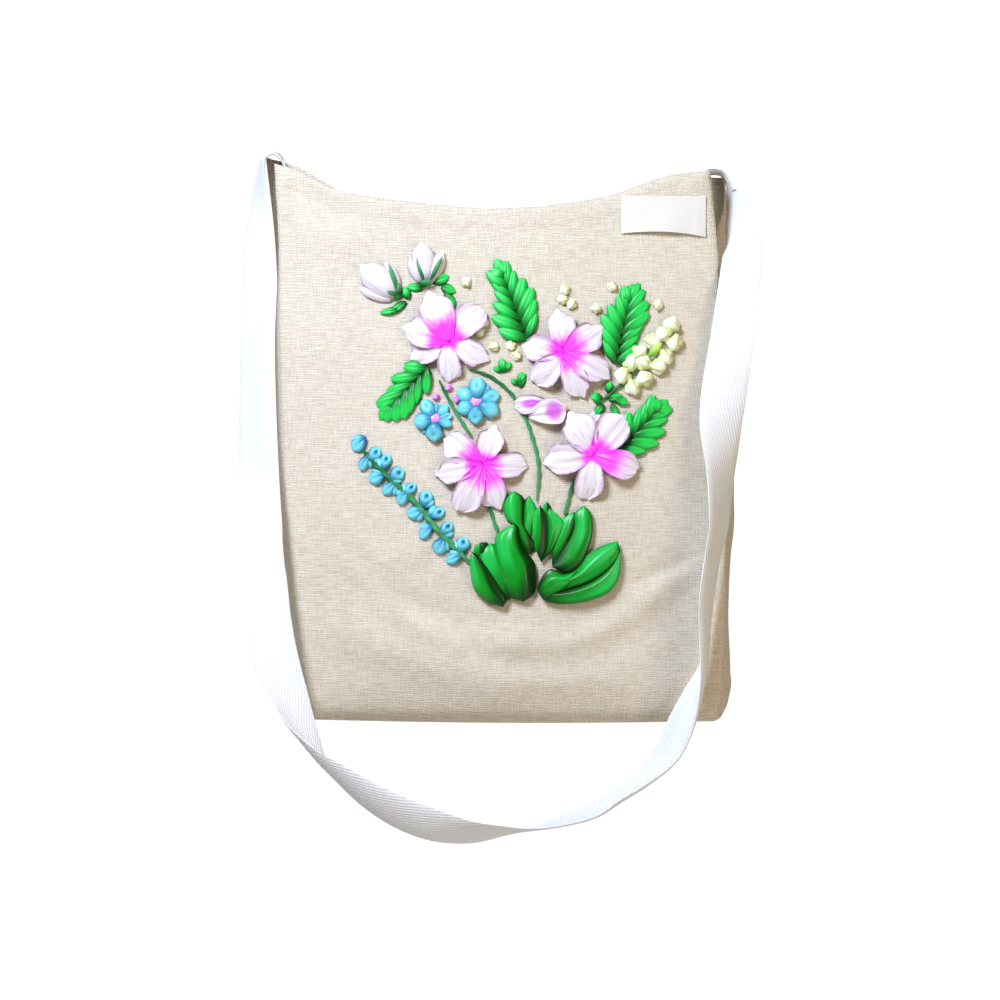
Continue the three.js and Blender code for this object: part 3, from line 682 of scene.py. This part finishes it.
def puffed_stitch(
    base, turn, length, width, lift=0.8, rise=2.4, cleft=0.0, outline=STITCH_OUTLINE, blunt=0.06, eye=0
):
    """One loose ribbon stitch: domed, narrow at both ends, cleft where it folds, open at its eye, with
    painted shade there.
    """
    up, across = grid(13, 11, -1)
    side = width / 2 * read_table(outline, "half", up) * across
    along = length * up * (1 - blunt * across**2)
    dome = np.sin(np.pi * np.clip(up, 0.02, 0.98) ** 0.85) ** 0.6
    fold = cleft * np.exp(-((across / 0.25) ** 2)) * dome
    hollow = np.exp(-(((up - 0.7) / 0.13) ** 2) - (across / 0.3) ** 2)
    height = lift + rise * dome * (1 - np.abs(across) ** 2.2) - fold - eye * hollow
    # At the eye the flat place is drawn back towards the foot, so the satin paints shade there.
    flat = np.stack([across * 0.5 + 0.5, up * (1 - min(1, 0.3 * eye) * hollow)], -1)
    return ribbon(base, turn, along, side, height, flat)


# Painted shade darkens the emerald stitches towards their foot and their edges.
leaf_ribbon = satin(
    "leaf_ribbon", (0.02, 0.66, 0.085, 1), (0.0006, 0.08, 0.004, 1), 9, shine=0.3, painted_edge_shade=0.45)
for leaf, (name, base, tip, width, pairs) in enumerate(FISHBONE_LEAVES):
    run, rise = tip[0] - base[0], tip[1] - base[1]
    length = math.hypot(run, rise)
    turn = math.degrees(math.atan2(rise, run))
    tip_base = (base[0] + 0.7 * run, base[1] + 0.7 * rise)
    stitches = [puffed_stitch(tip_base, turn, 0.3 * length, 9, lift=0.7, rise=2.0, cleft=0.6)]
    for i in reversed(range(pairs)):
        share = i / pairs
        half = width / 2 * float(read_table(LEAF_OUTLINE, "half", np.array(share + 0.12)))
        start = (base[0] + 0.86 * share * run, base[1] + 0.86 * share * rise)
        for way in (-1, 1):
            chance = math.sin(5.1 * i + 2.3 * way + 1.7 * leaf)
            slant = mix(44, 18, share) + 7 * chance
            reach = min(half / math.sin(math.radians(slant)), 20) * (1 + 0.1 * chance)
            lift = 0.8 + 0.26 * (pairs - i) + 0.3 * way + 0.3 * chance
            wide = 8.2 + 1.6 * chance
            stitches.append(puffed_stitch(
                start, turn + way * slant, reach, wide, lift=lift, cleft=0.6, blunt=-0.05))
    make_piece(name + "_ribbon", stitches, leaf_ribbon, "leaf", name)


# Base leaves
# Seven broad loops of wide emerald satin ribbon at the foot of the spray. Each is gathered at its foot
# and bellies out into up to three folds, with painted shade where it is gathered and at its edges, and
# a painted highlight along it.
# Each fold: its foot and tip, how far it stands out, where across it its painted highlight lies, and
# its left and right edges.
BASE_LEAVES = (
    ("base_leaf_3", (
        ((21, -259), (20, -220), 1.0, -0.2,
         ((16, -247), (16, -234), (17, -224)), ((24, -255), (21, -247), (22, -238), (24, -229))),
        ((20, -259), (10, -217), 2.2, 0.3,
         ((15, -253), (12, -241), (6, -236), (4, -228), (5, -221)),
         ((23, -252), (20, -246), (16, -238), (15.5, -228), (15, -221))),
    )),
    ("base_leaf_4", (
        ((30, -240), (32, -224), 1.5, 1.0, ((29, -232), (30, -226)), ((34, -234), (34, -228))),
        ((28, -264), (27, -226.5), 1.8, 0.9,
         ((24, -253), (23, -241), (24, -231)), ((31, -254), (32, -240), (30.5, -231.5))),
        ((28, -264), (33.5, -228.5), 2.4, -0.4,
         ((31, -252), (31, -238), (30.5, -231)), ((34, -257), (39, -247), (42, -238), (38.5, -233))),
    )),
    ("base_leaf_5", (
        ((35, -266), (49, -230.5), 1.4, 0.8,
         ((36, -257), (40, -245), (43, -236)), ((42, -262), (48, -250), (51.5, -240), (52, -233))),
        ((35, -267), (56, -226.5), 3.0, 0.1,
         ((41, -259), (48, -249), (51, -240), (51, -232)),
         ((44, -270), (52, -266), (57, -257), (60.5, -247), (61, -238), (60, -231))),
    )),
    ("base_leaf_1", (
        ((-10, -262), (-12, -251), 1.2, 1.1, ((-15.5, -257.5), (-15, -253)), ((-7, -257), (-8, -251.5))),
        ((7, -290), (-5.5, -251.5), 1.8, 0.3,
         ((-2, -280), (-11, -265), (-11, -257)), ((9, -280), (6, -266), (2, -257), (-1, -253))),
    )),
    ("base_leaf_2", (
        ((16.5, -290), (9.5, -239), 2.6, 0.4,
         ((7.5, -286), (2, -270), (-1, -255.5), (-0.5, -246.5), (5.5, -241)),
         ((22, -285), (23, -274), (21.5, -264), (16.5, -257), (13, -246.5), (12, -240))),
    )),
    ("base_leaf_1", (
        ((3, -293.5), (-18, -256.5), 3.2, 0.7,
         ((-6, -290), (-14.5, -282), (-18, -270), (-18.5, -262)),
         ((5, -289), (1, -281), (-5.5, -270), (-12, -262))),
    )),
    ("base_leaf_7", (
        ((26.5, -283), (78.5, -250), 1.8, 0.3,
         ((39, -276), (51, -269.5), (59, -260.5), (67.5, -254.5)),
         ((33, -286.5), (44, -282.5), (59, -277.5), (71, -270), (79.5, -259))),
        ((26.5, -283), (80.5, -255.5), 2.8, -0.3,
         ((41, -282.5), (57, -278), (70, -270), (77, -262)),
         ((29.5, -288), (40, -290.5), (56.5, -289), (72, -283), (79, -272))),
    )),
    ("base_leaf_6", (
        ((25.5, -282.5), (51.5, -269.5), 3.6, -0.1,
         ((27.5, -277), (32, -271), (36, -269.5), (42.5, -272)), ((29.5, -287), (37.5, -283), (46, -278))),
    )),
)
# Lit, middle and shaded greens of one ribbon: painted highlight and painted shade.
LEAF_HIGHLIGHT = (0.012, 0.44, 0.06, 1)
LEAF_MIDDLE = (0.002, 0.25, 0.012, 1)
LEAF_SHADE = (0.0006, 0.028, 0.0008, 1)

base_ribbon, surface = new_finish("base_leaf_ribbon", 0.34)
surface.inputs["Specular IOR Level"].default_value = 0.3
u, v = flat_place(surface)
lines = streaks(u, v, 8, 1.1, fine=3.0)
# Painted highlight along the middle of each fold, painted shade towards its edges and its gathered foot.
highlight_band = spread(from_middle(u), 0.05, 1.1, 1.0, 0.0)
tone = maths("MULTIPLY", highlight_band, spread(v, 0.05, 0.75, 0.1, 1.0))
tone = maths("MULTIPLY_ADD", maths("SUBTRACT", lines, 0.5), 0.45, tone)
cloth = blend_colours(spread(tone, 0.0, 0.42), LEAF_SHADE, LEAF_MIDDLE)
cloth = blend_colours(spread(tone, 0.45, 1.0), cloth, LEAF_HIGHLIGHT)
dress(surface, cloth, lines, 0.2, 0.0004)

leaf_folds = {}
for order, (name, folds) in enumerate(BASE_LEAVES):
    for foot, tip, lift, swell, *edges in folds:
        left, right = (smooth_line((foot, *edge, tip), 33)[:, None] for edge in edges)
        up, across = grid(33, 25, -1)
        spot = mix(right, left, 0.5 + 0.6 * across[..., None])
        wide = np.linalg.norm(left - right, axis=-1).max()
        dome = np.sin(np.pi * np.clip(up, 0.01, 0.99) ** 1.1) ** 0.6
        height = lift + 0.3 * order + 0.3 * wide * dome * (1 - np.abs(across) ** 2.2)
        height = height + 0.05 * wide * np.sin(6 * across + order) * np.sin(np.pi * up)
        # The flat place is shifted so that the painted highlight falls where its swell lies.
        flat = np.stack([0.5 + 0.42 * (across - swell), up], -1)
        leaf_folds.setdefault(name, []).append(
            ribbon((0, 0), 0, spot[..., 0], spot[..., 1], height, flat))
for name, folds in leaf_folds.items():
    make_piece(name + "_ribbon", folds, base_ribbon, "leaf", name, crease=80)


# Small leaves
# Short stitches of the same emerald ribbon: sprigs below the two buds, a pair on the middle stem and
# a frilled tuft at the foot of the cream spray. Each stitch: its foot, direction, length and width.
SMALL_LEAVES = {
    "bud_leaves_left": (
        (-63, -86, 200, 12, 6), (-62, -92, 215, 15, 6), (-60, -90, 120, 9, 6), (-66, -97, 190, 14, 5)),
    "bud_leaves_right": ((-45, -79, 20, 12, 8), (-39, -82, 340, 10, 7), (-36, -86, 300, 12, 7)),
    "bud_leaf_middle": ((-51, -83, 175, 11, 6), (-53, -82, 30, 9, 5)),
    "stem_leaf_upper": ((3, -139, 100, 10, 6), (2, -138, 160, 7, 4), (4, -138, 60, 7, 4)),
    "stem_leaf_lower": ((14, -149, 85, 11, 6), (12, -147, 140, 6, 4), (13, -146, 60, 8, 4)),
    "spray_leaves": (
        (66, -160, 110, 9, 6), (68, -156, 170, 8, 6), (69, -160, 230, 9, 6), (72, -157, 20, 10, 6),
        (74, -160, 300, 8, 5), (76, -156, 340, 10, 6), (71, -152, 70, 8, 5)),
}
for name, leaves in SMALL_LEAVES.items():
    stitches = []
    for i, (x, z, turn, length, width) in enumerate(leaves):
        stitches.append(puffed_stitch((x, z), turn, length, width, 0.8 + 0.3 * i, 2.0, 0.7))
    make_piece(name + "_ribbon", stitches, leaf_ribbon, "leaf", name)


# Flowers
# Four open flowers of wide white ribbon. Each petal is gathered at the middle, bellies out and is
# drawn back through the cloth at its tip, which curls its edges up. Magenta dye is brushed outwards
# from the middle and runs along the gathers. Each petal: direction, reach, width and how far it is dyed.
FLOWERS = {
    "flower_upper_left": ((-33.5, -118), (
        (203, 28, 17, 0.24), (-24, 29, 17, 0.24), (269, 27, 16, 0.18),
        (48, 32, 21, 0.33), (162.5, 32, 20, 0.44), (112, 35, 23, 0.46))),
    "flower_upper_right": ((43, -126), (
        (97, 29, 19, 0.34), (169.5, 29, 18, 0.36), (225, 29, 19, 0.2),
        (-70, 32, 18, 0.36), (37, 30, 20, 0.5), (-28, 34, 18, 0.38))),
    "flower_lower_left": ((-11, -200), (
        (75, 27, 18, 0.3), (-1, 30, 17, 0.42), (143, 31, 20, 0.5),
        (-67, 31, 19, 0.52), (188.5, 32, 17, 0.34), (245, 35, 20, 0.4))),
    "flower_lower_right": ((63, -193), (
        (88, 29, 20, 0.2), (260, 31, 19, 0.16), (186, 34, 21, 0.24),
        (122, 32, 23, 0.2), (55, 33, 23, 0.34), (-22, 31, 19, 0.62))),
}
PETAL_OUTLINE = {"along": (0, 0.18, 0.42, 0.68, 0.87, 1), "half": (0.3, 0.56, 0.88, 1, 0.86, 0.46)}
PETAL_WHITE = (0.70, 0.635, 0.655, 1)
# Lilac painted shade for the white ribbon's edges and folds.
PAINTED_LILAC_SHADE = (0.42, 0.22, 0.39, 1)
DYE_PINK = (0.90, 0.36, 0.86, 1)
DYE_MAGENTA = (0.90, 0.05, 0.80, 1)

petal_ribbon, surface = new_finish("petal_ribbon", 0.42)
u, v = flat_place(surface)
across = maths("FRACT", u)
lines = streaks(u, v, 13, 0.5, fine=3.0)
blotch = streaks(u, v, 4, 2.2, seed=5.0)
# Painted shade: lilac along the curled edges, in patches, and in streaks along the petal.
edge = spread(from_middle(across), 0.74, 0.96)
rim_shade = maths("MULTIPLY", edge, spread(blotch, 0.36, 0.58, 0.35, 1.0))
tint = maths("MAXIMUM", rim_shade, spread(lines, 0.52, 0.68, 0.0, 0.45))
cloth = blend_colours(tint, PETAL_WHITE, PAINTED_LILAC_SHADE)
run_out = maths("MULTIPLY_ADD", maths("SUBTRACT", lines, 0.5), -0.4, v)
run_out = maths("MULTIPLY_ADD", maths("SUBTRACT", blotch, 0.5), -0.5, run_out)
cloth = blend_colours(spread(run_out, 0.8, 1.4, 1.0, 0.0), cloth, DYE_PINK)
cloth = blend_colours(spread(run_out, 0.6, 1.15, 1.0, 0.0), cloth, DYE_MAGENTA)
dress(surface, cloth, lines, 0.3, 0.0005)


def petal(base, turn, length, width, lift, dyed, seed, belly=4.2, curl=2.4):
    """One ribbon petal: gathered at its foot, bellied in its length, with its edges curled up."""
    up, across = grid(31, 25, -1)
    out = np.abs(across)
    side = width / 2 * read_table(PETAL_OUTLINE, "half", up) * across
    side = side + 0.07 * width * math.sin(2.3 * seed) * up**2
    side = side + 0.05 * width * np.sin(5 * up + seed) * out * up
    along = length * up * (1 - 0.1 * across**2 * up**3)
    along = along + 0.035 * length * np.sin(3.2 * across + seed) * up**3
    rise = np.sin(np.pi * up**0.9)
    gathers = 0.45 * np.cos(3 * np.pi * across + seed) + 0.3 * np.cos(7 * across + 3 * seed)
    height = lift + belly * rise * (1 - 0.35 * across**2) + gathers * (1 - up) ** 0.8
    height = height + curl * out**3.5 * rise + 1.0 * out**6 * up
    height = height + 0.7 * np.sin(4 * across + 2 * seed) * up**2
    height = height + 0.7 * np.sin(11 * across + 3 * seed + 4 * up) * out * up**2
    flat = np.stack([across * 0.495 + 0.5 + math.floor(97 * seed), up / dyed], -1)
    return ribbon(base, turn, along, side, height, flat, wall=0.35)


for flower, (name, (middle, petals)) in enumerate(FLOWERS.items()):
    made = []
    for i, (turn, reach, width, dyed) in enumerate(petals):
        made.append(petal(middle, turn, reach, width, 1.2 + 0.5 * i, dyed, flower + 1.7 * i))
    make_piece(name + "_ribbon", made, petal_ribbon, "petal", name, crease=80)


# Half-open flower
# Two loops of the same white ribbon seen from the side, one lying behind the other, each with a spot of
# mauve in its hollow. Each loop: foot, direction, reach, width, lift, and its spot's place and size.
HALF_OPEN = (
    ((33, -159), 181, 23.5, 13, 0.0, 0.48, 0.9, 1.2),
    ((19.5, -167), 10, 26, 18, 1.6, 0.66, 1.25, 0.9),
)
DYE_MAUVE = (0.58, 0.10, 0.62, 1)

half_ribbon, surface = new_finish("spotted_petal_ribbon", 0.42)
u, v = flat_place(surface)
lines = streaks(u, v, 13, 1.2, fine=3.0)
spot_across = maths("POWER", maths("MULTIPLY_ADD", u, 3.0, -1.5), 2.0)
spot_along = maths("POWER", maths("MULTIPLY_ADD", v, 3.2, -1.95), 2.0)
spot = maths("MULTIPLY_ADD", lines, -0.9, maths("ADD", spot_across, spot_along))
# Painted lilac shade along the edges of each loop.
edge = spread(from_middle(u), 0.8, 0.98, 0.0, 0.6)
cloth = blend_colours(edge, PETAL_WHITE, PAINTED_LILAC_SHADE)
cloth = blend_colours(spread(spot, -0.3, 1.0, 0.95, 0.0), cloth, DYE_MAUVE)
surface.id_data.links.new(cloth, surface.inputs["Base Color"])

made = []
for i, (foot, turn, reach, width, lift, spot, shorter, narrower) in enumerate(HALF_OPEN):
    part = petal(foot, turn, reach, width, 2.2 + lift, 1.0, 11 + 1.3 * i, belly=3.0, curl=1.6)
    part[2][:, 0] = (part[2][:, 0] % 1.0 - 0.5) * narrower + 0.5
    part[2][:, 1] = (part[2][:, 1] - spot) * shorter + 0.61
    made.append(part)
make_piece("half_open_flower_ribbon", made, half_ribbon, "petal", "half_open_flower", crease=80)


# Buds
# Two closed flowers: white ribbon wrapped over itself into a plump egg, with painted lilac shade at its
# edges, in streaks and at the foot of each wrap, and slender green stitches drawn up from the foot of
# each to hold it.
# Each wrap: its foot, direction, length, width and lift. Each sepal: its foot, direction and length.
BUDS = {
    "bud_left": (
        ((-72, -90.5), 161, 23, 9, 0.4), ((-68, -87), 110, 23, 11, 0.0),
        ((-68.5, -87), 142, 31, 21, 1.0),
        ((-67, -86), 109, 21), ((-68.5, -88), 150, 9), ((-68, -87), 78, 8)),
    "bud_right": (
        ((-51, -79), 117, 19, 11, 0.0), ((-48, -79), 62, 22.5, 12, 0.2),
        ((-49.7, -78.5), 95, 26.5, 17, 1.0),
        ((-50.5, -78), 106, 16), ((-46, -78), 63, 18), ((-54.5, -79.5), 6, 10)),
}
BUD_OUTLINE = {"along": (0, 0.2, 0.5, 0.8, 0.93, 1), "half": (0.42, 0.8, 1, 0.9, 0.68, 0.4)}

bud_ribbon, surface = new_finish("bud_ribbon", 0.42)
u, v = flat_place(surface)
lines = streaks(u, v, 7, 1.3, fine=3.0)
# Painted lilac shade at the edges, in streaks and at the foot of each wrap.
edge = spread(from_middle(u), 0.7, 1.0)
tint = maths("MULTIPLY_ADD", edge, 0.7, spread(lines, 0.5, 0.72, 0.0, 0.5))
tint = maths("MAXIMUM", tint, spread(v, 0.0, 0.3, 0.5, 0.0))
dress(surface, blend_colours(tint, PETAL_WHITE, PAINTED_LILAC_SHADE), lines, 0.3, 0.0005)

for name, stitches in BUDS.items():
    made = []
    for foot, turn, length, width, lift in stitches[:3]:
        made.append(puffed_stitch(foot, turn, length, width, 1 + lift, 0.34 * width, 0, BUD_OUTLINE, 0.14))
    make_piece(name + "_ribbon", made, bud_ribbon, "petal", name, crease=80)
    made = [puffed_stitch(foot, turn, length, 3.2, 6.2, 1.6) for foot, turn, length in stitches[3:]]
    make_piece(name + "_sepals", made, stem_ribbon, "leaf")


# Blue flowers
# Two small flowers of narrow turquoise ribbon: two loops underneath and six loose ones of uneven length
# over them, round a middle of pink ribbon. Each loop: its direction, reach and width. Last comes the
# middle's width and height.
BLUE_FLOWERS = {
    "blue_flower_left": ((-42.7, -170), (
        (85, 11, 9), (228, 12, 9), (47, 13, 7.5), (13, 12, 6.5),
        (-18, 12, 7), (122, 15.5, 10), (188, 14, 11.5), (268, 14.5, 12)), (5.6, 8.4)),
    "blue_flower_right": ((-14.7, -158.6), (
        (55, 14, 10), (-62, 12, 9), (148, 15.5, 11), (20, 16, 11),
        (205, 14, 11), (88, 17, 12), (-28, 16, 12), (265, 14.5, 11)), (8.4, 8.8)),
}
LOOP_OUTLINE = {"along": (0, 0.22, 0.5, 0.75, 0.9, 1), "half": (0.34, 0.68, 0.97, 0.97, 0.72, 0.3)}

# Painted shade darkens the turquoise loops towards their foot and their edges.
blue_ribbon = satin("turquoise_ribbon", (0.20, 0.71, 0.78, 1), (0.004, 0.12, 0.26, 1), 6, painted_edge_shade=0.55)
pink_ribbon = satin("pink_ribbon", (0.86, 0.36, 0.82, 1), (0.50, 0.09, 0.48, 1), 5)
for name, (middle, petals, (wide, tall)) in BLUE_FLOWERS.items():
    made = []
    for i, (turn, reach, width) in enumerate(petals):
        # Every other loop gets an eye of painted shade; the two loops underneath are drawn darker all over
        # by halving their flat place, which is painted shade.
        loop = puffed_stitch(
            middle, turn, reach, width, 0.9 + 0.35 * i, 0.4 * width, 0.5, LOOP_OUTLINE, 0.05, 1.6 * (i % 2))
        loop[2][:, 1] *= 0.5 if i < 2 else 1.0
        made.append(loop)
    make_piece(name + "_ribbon", made, blue_ribbon, "blue", name, crease=80)
    foot = (middle[0], middle[1] - tall / 2)
    made = []
    for lean in (-9, 9):
        made.append(puffed_stitch(foot, 90 + lean, tall, wide, 4.2 + 0.03 * lean, 2, 0.4, LOOP_OUTLINE))
    make_piece(name + "_middle", made, pink_ribbon, "pink", crease=80)


# Blue spike
# A slanting stalk of green ribbon with small plump loops of narrow turquoise ribbon down both sides.
# The loops above the stalk turn their open ends up.
SPIKE_STALK = (
    (-93, -187), (-82, -200), (-67, -214), (-55, -225), (-42, -241), (-34, -249.5), (-17, -266.5))
SPIKE_BELOW = (
    (-93.7, -186.8), (-89.8, -199.3), (-81.8, -208.6), (-73.3, -215.8), (-64, -221.8), (-56.1, -231.7),
    (-48.8, -244.9), (-38.9, -254.1), (-30.4, -262))
SPIKE_ABOVE = (
    (-82.5, -192.7), (-75.2, -197.3), (-67.3, -205.9), (-58.7, -215.8), (-48.2, -221.8), (-40.3, -231.7),
    (-34.3, -241.6), (-23.8, -252.1))

made = []
for below, loops in ((True, SPIKE_BELOW), (False, SPIKE_ABOVE)):
    for i, (x, z) in enumerate(loops):
        facing = (222 if below else 50) + 24 * math.sin(2.1 * i)
        foot = (x - 7 * math.cos(math.radians(facing)), z - 7 * math.sin(math.radians(facing)))
        # The eye sinks the open end of each loop above the stalk and gives it painted shade there.
        eye = 0.3 if below else 3.4
        plump = 0.94 + 0.16 * math.sin(3.7 * i + below)
        cleft = 1.3 if below else 0.5
        made.append(puffed_stitch(foot, facing, 12.0, 9.6 * plump, 1.2, 4.0, cleft, LOOP_OUTLINE, 0.05, eye))
        side = facing + (38 if i % 2 else -38)
        made.append(puffed_stitch(foot, side, 9, 5.5, 1.0, 3.0, 0.4, LOOP_OUTLINE, 0.05))
make_piece("blue_spike_ribbon", made, blue_ribbon, "blue", "blue_spike", crease=80)
make_piece("blue_spike_stalk", [couched_stem(SPIKE_STALK, 1.9)], stem_ribbon, "stem")


# Cream spray and knots
# Narrow cream ribbon folded into plump knots: twelve along a green stalk on the right, with one pale
# green stitch among them, and loose ones scattered between the flowers.
SPRAY_STALK = ((65, -160), (84, -143), (100, -124), (112, -109))
SPRAY_KNOTS = (
    (113.5, -107.5), (108, -114), (115.5, -119), (109.5, -128.5), (104.5, -135), (92.5, -125.5),
    (87, -132.5), (95, -132), (95.8, -143), (81.5, -141), (88, -148.5), (100.7, -118.5))
LOOSE_KNOTS = {
    "cream_knots_top": ((41.5, -90.5), (47.5, -93.7), (43, -84)),
    "cream_knot_upper_right": ((63.5, -96.5),),
    "cream_knot_by_leaf": ((74, -82),),
    "cream_knot_far_right": ((104.5, -94),),
    "cream_knot_upper_left": ((-22.5, -79),),
    "cream_knots_middle": ((-10.5, -105.5), (-13.5, -112)),
    "cream_knots_lower": ((7.5, -121), (11, -127.5), (-4, -121.5)),
}


def folded_knots(places, size, seed):
    """Ribbon knots, each of three short folds laid over one another at different angles."""
    folds = []
    for knot, (x, z) in enumerate(places):
        for i in range(3):
            turn = 50 * (seed + knot) + 75 * i
            run, rise = math.cos(math.radians(turn)), math.sin(math.radians(turn))
            foot = (x - size / 2 * run, z - size / 2 * rise)
            wide = (0.85 - 0.1 * i) * size
            lift = 0.8 + 0.12 * size * i
            folds.append(puffed_stitch(foot, turn, size, wide, lift, 0.36 * size, 0.08 * size, LOOP_OUTLINE))
    return folds


# Painted shade darkens the knots towards the foot of each fold and its edges.
cream_ribbon = satin(
    "cream_ribbon", (0.88, 0.89, 0.70, 1), (0.62, 0.66, 0.30, 1), 3, rough=0.5, painted_edge_shade=0.2)
made = folded_knots(SPRAY_KNOTS, 11.8, 0)
make_piece("cream_spray_ribbon", made, cream_ribbon, "cream", "cream_spray", crease=80)
make_piece("cream_spray_stalk", [couched_stem(SPRAY_STALK, 1.0)], stem_ribbon, "stem")
pale_ribbon = satin("pale_green_ribbon", (0.55, 0.84, 0.14, 1), (0.16, 0.36, 0.03, 1), 3, rough=0.5)
made = [puffed_stitch((98.5, -128.5), 46, 12.5, 5, 5.5, 1.8)]
make_piece("cream_spray_tuft", made, pale_ribbon, "leaf")
for name, knots in LOOSE_KNOTS.items():
    made = folded_knots(knots, 7.2, len(name))
    make_piece(name + "_ribbon", made, cream_ribbon, "cream", name, crease=80)


# Pink knots
# Small knots of pink ribbon between the upper left flower and the two blue ones, folded and sewn
# down in the same way as the cream ones.
PINK_KNOTS = {
    "pink_knot_top": ((-33.7, -149), (-28.4, -156.5)),
    "pink_knot_left": ((-42, -155),),
}
for name, knots in PINK_KNOTS.items():
    make_piece(name + "_ribbon", folded_knots(knots, 5.2, 1), pink_ribbon, "pink", name)


# Floor, light and background
# A plain pale floor well below the hanging bag, one soft light close above it on the left, which
# leaves its lower part in half shade, two fainter ones from lower down, one behind, and a white surround.
FLOOR_HEIGHT = -0.9
FLOOR_SIZE = 4.4
SOFT_LIGHTS = (
    ("key_light", (-0.38, -0.80, 0.46), 0.34, 15.8, (0.88, 1.0, 1.25)),
    ("fill_light", (1.04, -0.98, -0.38), 0.5, 6.4, (1.0, 0.84, 0.63)),
    ("low_light", (-1.15, -0.45, -0.52), 0.5, 0.8, (0.72, 0.83, 1.0)),
    ("back_light", (-0.6, 1.6, -0.1), 0.7, 10.0, (1.0, 0.99, 0.97)),
)

bpy.ops.mesh.primitive_plane_add(size=FLOOR_SIZE, location=(0, 0, FLOOR_HEIGHT))
floor = bpy.context.object
floor.name = "floor"
pale, surface = new_finish("pale_floor", 0.9)
surface.inputs["Base Color"].default_value = (0.70, 0.66, 0.61, 1)
floor.data.materials.append(pale)

for name, place, size, power, colour in SOFT_LIGHTS:
    lamp = bpy.data.objects.new(name, bpy.data.lights.new(name, "AREA"))
    lamp.data.energy = power
    lamp.data.size = size
    lamp.data.color = colour
    lamp.location = place
    lamp.rotation_euler = (CAMERA_AIM - lamp.location).to_track_quat("-Z", "Y").to_euler()
    bpy.context.collection.objects.link(lamp)

world = bpy.data.worlds.new("white_surround")
world.use_nodes = True
tree = world.node_tree
tree.nodes.clear()
direction = add_node(tree, "TexCoord").outputs["Generated"]
upward = add_to({0: direction}, "SeparateXYZ")[2]
strength = spread(upward, -0.4, 0.9, 0.03, 0.37)
seen = add_node(tree, "LightPath").outputs["Is Camera Ray"]
strength = maths("MAXIMUM", strength, maths("MULTIPLY", seen, 1.05))
tint = blend_colours(spread(upward, -0.3, 0.3), (1.0, 0.83, 0.64, 1), (1.0, 0.94, 0.85, 1))
tint = blend_colours(seen, tint, (1, 1, 1, 1))
surround = add_to({"Color": tint, "Strength": strength}, "Background")[0]
add_to({"Surface": surround}, "OutputWorld")
bpy.context.scene.world = world
bpy.context.scene.view_settings.view_transform = "Standard"
